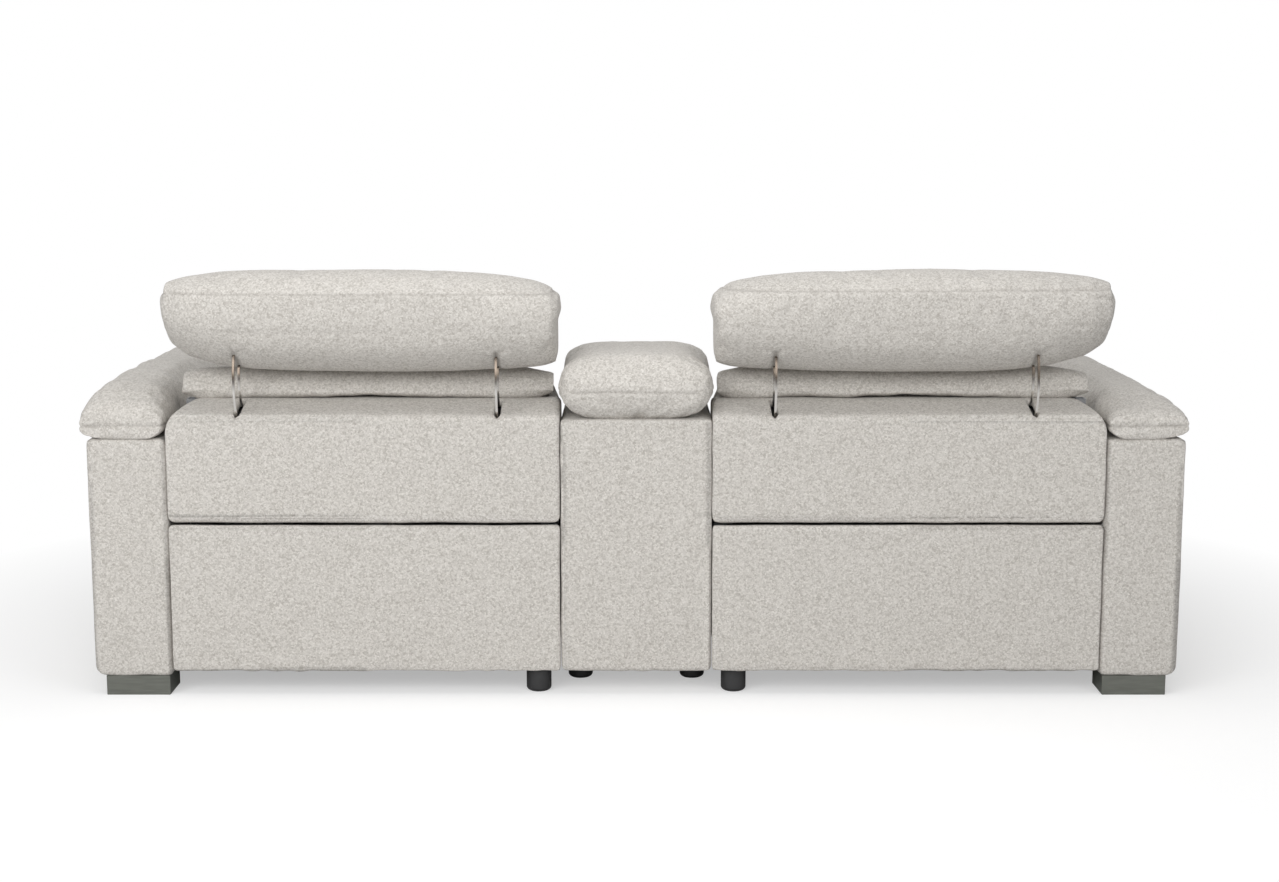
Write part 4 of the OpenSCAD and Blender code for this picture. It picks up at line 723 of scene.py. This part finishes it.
for number, (side, piece) in enumerate(arm_pads.items()):
    fitted(piece, SIGN[side], ARM_INNER + END_ROOM, ARM_OUTER[side], reach=ARM_REACH[side])
    places = points(piece)
    above = np.maximum(places[:, 2] - ARM_SEAM, 0)
    places[:, 2] += above * (ARM_FULLNESS[side] - 1)
    place_points(piece, places)
    settled(piece, 0.0020, 0.14, seed=101 + number)
    places, normals = points(piece), outward(piece)
    dent = (near(places[:, 0] - SIGN[side] * DENT_PLACE[0], DENT_SIZE[0])
            * near(places[:, 1] - DENT_PLACE[1], DENT_SIZE[1])
            * step(places[:, 2], 0.58, 0.60))
    place_points(piece, places - normals * (DENT_DEPTH[side] * dent)[:, None])
    stitch(piece, 2, ARM_SEAM, seed=111 + number, drift=0.0012, depth=0.0026)
    belongs(piece, "base", "arm_pad_" + side, fill=0.7)
print("arm pad faces:", len(arm_pad.data.polygons))

# %% [markdown]
# ## Console pads
# The rear pad is the plump pillow in the middle of the picture. Its sewn line stops short
# of the corners, with a short upright seam at each end. The lid pad in front of it is the
# armrest, and it lifts with the lid.

# %% Console pads
REAR_SEAM, LID_SEAM = 0.6326, 0.611
CORNER, CORNER_FADE, CORNER_SEAM = 0.036, 0.012, 0.013


def console_cover(node_name, piece_name, body, level, seed):
    piece = filled(copied(piece_name, node_name), "console", band(2, level, 0.003))
    low, high = (np.array(v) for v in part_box(node_name))
    fitted(piece, 1, low[0], high[0], reach=0.06)
    settled(piece, 0.0010, 0.14, seed=seed)
    middle = (low + high) / 2
    half = high - middle

    def straight(p):
        across = 1 - step(np.abs(p[:, 0]), high[0] - CORNER, high[0] - CORNER + CORNER_FADE)
        along = 1 - step(np.abs(p[:, 1] - middle[1]), half[1] - CORNER,
                         half[1] - CORNER + CORNER_FADE)
        return np.maximum(across, along)
    stitch(piece, 2, level, where=straight, seed=seed + 1, drift=0.001)
    for sign in SIGN.values():
        def stub(p, sign=sign):
            ends = step(np.abs(p[:, 1] - middle[1]), half[1] - CORNER, half[1])
            return ends * near(p[:, 2] - level - 0.010, CORNER_SEAM) * (p[:, 0] * sign > 0)
        stitch(piece, 0, sign * (high[0] - CORNER), where=stub, seed=seed + 2, depth=0.002)
    belongs(piece, body, node_name, fill=0.85)
    return piece


rear_pillow = console_cover("console_rear_pad", "console_rear_cover", "base", REAR_SEAM, 121)
lid_pillow = console_cover("lid_pad", "lid_cover", "lid", LID_SEAM, 131)
print("console pad faces:", len(rear_pillow.data.polygons), len(lid_pillow.data.polygons))

# %% [markdown]
# ## Footrest pads
# A flat pad on a board, folded away under the front of the seat until the seat reclines.

# %% Footrest pads
FOOT_SEAM = -0.448
foot_pad = filled(copied("footrest_cover_left", "footrest_pad_left"), "footrest",
                  band(1, FOOT_SEAM, 0.004))
foot_pads = {"left": foot_pad, "right": mirrored(foot_pad, "footrest_cover_right")}

for number, (side, piece) in enumerate(foot_pads.items()):
    settled(piece, 0.0015, 0.15, seed=141 + number)
    stitch(piece, 1, FOOT_SEAM, seed=151 + number, drift=0.001)
    belongs(piece, "footrest_" + side, "footrest_pad_" + side, fill=0.7)
print("footrest pad faces:", len(foot_pad.data.polygons))

# %% [markdown]
# ## Upholstered panels
# The arms, the console, the shells behind the backs and the panels below them are boards
# covered in cloth over thin wadding. They stay straight, but no edge is sharp: the cloth
# rounds each one, rises a little in the middle and puckers where it is stapled below.

# %% Panel helper
SHELF_SLOT_HALF, SHELF_SLOT_Y = 0.0075, (0.344, 0.432)
PANEL_LUMPS, HEM_HEIGHT, TUCK_LENGTH = (0.0006, 0.14), 0.016, 0.045


def panel(node_name, piece_name, body, square, rounds, seed, slots=(), hem_depth=0.0014,
          padding=0.0009):
    piece = copied(piece_name, node_name)
    if slots:
        closed_slots(piece, slots, SHELF_SLOT_HALF, *SHELF_SLOT_Y)
    skinned(piece, square)
    apply(piece, "SMOOTH", factor=0.5, iterations=rounds)
    place_points(piece, points(piece) + outward(piece) * padding)
    settled(piece, *PANEL_LUMPS, seed=seed)
    places, normals = points(piece), outward(piece)
    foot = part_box(node_name)[0][2]
    hem = near(places[:, 2] - foot, HEM_HEIGHT) * step(np.abs(normals[:, 2]), 0.0, 0.3)
    pinched = waves(places, TUCK_LENGTH, seed + 2, (1, 1, 0.1)) * hem_depth
    place_points(piece, places + normals * (hem * pinched)[:, None])
    belongs(piece, body, node_name)
    return piece

# %% Panels
SHELF_MOUTHS = ((0.4290, 0.5850), (0.3560, 0.6030))
SHELF_SLIT = {"beyond": 0.05, "depth": 0.008, "width": 0.0036}

for number, (side, sign) in enumerate(SIGN.items()):
    arm = panel("arm_shell_" + side, "arm_side_" + side, "base", 0.009, 4, 161 + number)
    low_panel = panel("rear_panel_" + side, "rear_cover_" + side, "base", 0.005, 2, 171 + number)
    hinges = [sign * x for x in HINGE_X]
    shell = panel("back_shell_" + side, "back_shell_cover_" + side, "back_" + side, 0.005, 3,
                  181 + number, slots=hinges, hem_depth=0, padding=0.0014)
    # The slits in the shelf get painted shade as well.
    for x in hinges:
        slit(shell, x, SHELF_MOUTHS, **SHELF_SLIT)
console = panel("console_shell", "console_cover", "base", 0.009, 4, 191)
print("panel faces:", len(arm.data.polygons), len(low_panel.data.polygons),
      len(shell.data.polygons), len(console.data.polygons))

# %% [markdown]
# ## The seat's front border
# Under the seat cushion the wooden frame is wrapped in the same cloth, so that no timber
# shows from the front. It is a thin padded strip: a block stretched to the frame's front,
# rounded by a bevel and divided so that it can take the same soft lumps.

# %% Front borders
BORDER_THICK, BORDER_LIP, BORDER_SEAT = 0.008, 0.004, 0.001
BORDER_ROUND, BORDER_SQUARE, BORDER_LUMPS = 0.003, 0.004, (0.0006, 0.09)

for number, side in enumerate(SIGN):
    low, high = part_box("seat_frame_" + side)
    bpy.ops.object.select_all(action="DESELECT")
    centre = ((low[0] + high[0]) / 2, low[1] - BORDER_THICK / 2 + BORDER_SEAT,
              (low[2] + high[2]) / 2)
    bpy.ops.mesh.primitive_cube_add(size=1, location=centre)
    border = bpy.context.object
    border.name = "seat_border_" + side
    border.scale = (high[0] - low[0] + BORDER_LIP, BORDER_THICK, high[2] - low[2] + BORDER_LIP)
    bpy.ops.object.transform_apply(location=True, rotation=True, scale=True)
    apply(border, "BEVEL", width=BORDER_ROUND, segments=3)
    skinned(border, BORDER_SQUARE)
    settled(border, *BORDER_LUMPS, seed=201 + number)
    border.data.materials.clear()
    border.data.materials.append(boucle)
    smooth_shaded(border)
    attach(border, "seat_" + side)
print("border faces:", len(border.data.polygons))

# %% [markdown]
# ## The studio
# A white sweep and soft light. Four large lamps stand round the back of the sofa, one of
# them overhead, and the one on the picture's left is the strongest. The world fills in the
# rest. The floor is white wherever the camera sees it in full light, and keeps the shadow
# under the sofa.

# %% Floor
FLOOR_SIZE, FLOOR_GLOW, FLOOR_GREY = 40, 0.43, 0.62
WHITE_FROM, WHITE_BEYOND = 1.2, 2.0  # metres from the sofa's middle, seen by the camera alone

bpy.ops.object.select_all(action="DESELECT")
bpy.ops.mesh.primitive_plane_add(size=FLOOR_SIZE, location=(0, 0, 0))
floor = bpy.context.object
floor.name = "studio_floor"
paper = Finish("studio_paper", Roughness=0.9, Base_Color=(FLOOR_GREY, FLOOR_GREY, FLOOR_GREY, 1),
               Specular_IOR_Level=0.0)
seen = paper.node("ShaderNodeLightPath", {}, {}, "Is Camera Ray")
glow = paper.node("ShaderNodeEmission", {}, {"Color": (1, 1, 1, 1), "Strength": FLOOR_GLOW})
lit = Field(paper, paper.shader.outputs[0])
lifted = paper.node("ShaderNodeAddShader", {}, {0: lit, 1: glow})
white = paper.node("ShaderNodeEmission", {}, {"Color": (1, 1, 1, 1), "Strength": 1.0})
away = paper.node("ShaderNodeVectorMath", {"operation": "LENGTH"}, {0: paper.place}, 1)
far = paper.node("ShaderNodeMapRange", {}, {"Value": away, "From Min": WHITE_FROM,
                                            "From Max": WHITE_BEYOND})
faded = paper.node("ShaderNodeMixShader", {}, {0: far, 1: lifted, 2: white})
mixed = paper.node("ShaderNodeMixShader", {}, {0: seen, 1: lit, 2: faded})
paper.tree.links.new(mixed.socket, paper.tree.nodes["Material Output"].inputs["Surface"])
floor.data.materials.append(paper.material)
floor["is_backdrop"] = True

# %% World
WORLD_LIGHT, LAMP_TARGET = 0.30, (0, 0.3, 0.4)
LAMPS = {  # place, size in metres, watts
    "lamp_overhead": ((0.0, 0.6, 3.2), (3.0, 2.0), 33.0),
    "lamp_picture_left": ((2.6, 3.4, 2.2), (2.0, 2.0), 60.0),
    "lamp_by_the_camera": ((0.5, 4.1, 2.0), (2.4, 1.6), 48.0),
    "lamp_picture_right": ((-2.6, 3.4, 2.2), (2.0, 2.0), 30.0),
}

world = bpy.data.worlds.new("studio_world")
scene.world = world
world.use_nodes = True
tree = world.node_tree
background = tree.nodes["Background"]
background.inputs["Color"].default_value = (1, 1, 1, 1)
path = tree.nodes.new("ShaderNodeLightPath")
direct = tree.nodes.new("ShaderNodeMath")
direct.operation = "MAXIMUM"
tree.links.new(path.outputs["Is Camera Ray"], direct.inputs[0])
tree.links.new(path.outputs["Is Glossy Ray"], direct.inputs[1])
either = tree.nodes.new("ShaderNodeMath")
either.operation = "MAXIMUM"
tree.links.new(direct.outputs[0], either.inputs[0])
tree.links.new(path.outputs["Is Transmission Ray"], either.inputs[1])
power = tree.nodes.new("ShaderNodeMapRange")
power.inputs["To Min"].default_value = WORLD_LIGHT
power.inputs["To Max"].default_value = 1.0
tree.links.new(either.outputs[0], power.inputs["Value"])
tree.links.new(power.outputs["Result"], background.inputs["Strength"])

# %% Lamps
for name, (place, size, watts) in LAMPS.items():
    lamp_data = bpy.data.lights.new(name, "AREA")
    lamp_data.shape = "RECTANGLE"
    lamp_data.size, lamp_data.size_y = size
    lamp_data.energy = watts
    lamp = bpy.data.objects.new(name, lamp_data)
    lamp.location = place
    aim = Vector(LAMP_TARGET) - Vector(place)
    lamp.rotation_euler = aim.to_track_quat("-Z", "Y").to_euler()
    scene.collection.objects.link(lamp)
scene.view_settings.view_transform = "Standard"
print("lamps:", len(LAMPS), "world:", WORLD_LIGHT)

# %% [markdown]
# ## The size
# The box of the dressed sofa is printed. The dressed sofa may stand proud of the CAD by
# no more than cloth does.

# %% Size
low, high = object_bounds()
print("visual box:", [round(v, 3) for v in low], [round(v, 3) for v in high])
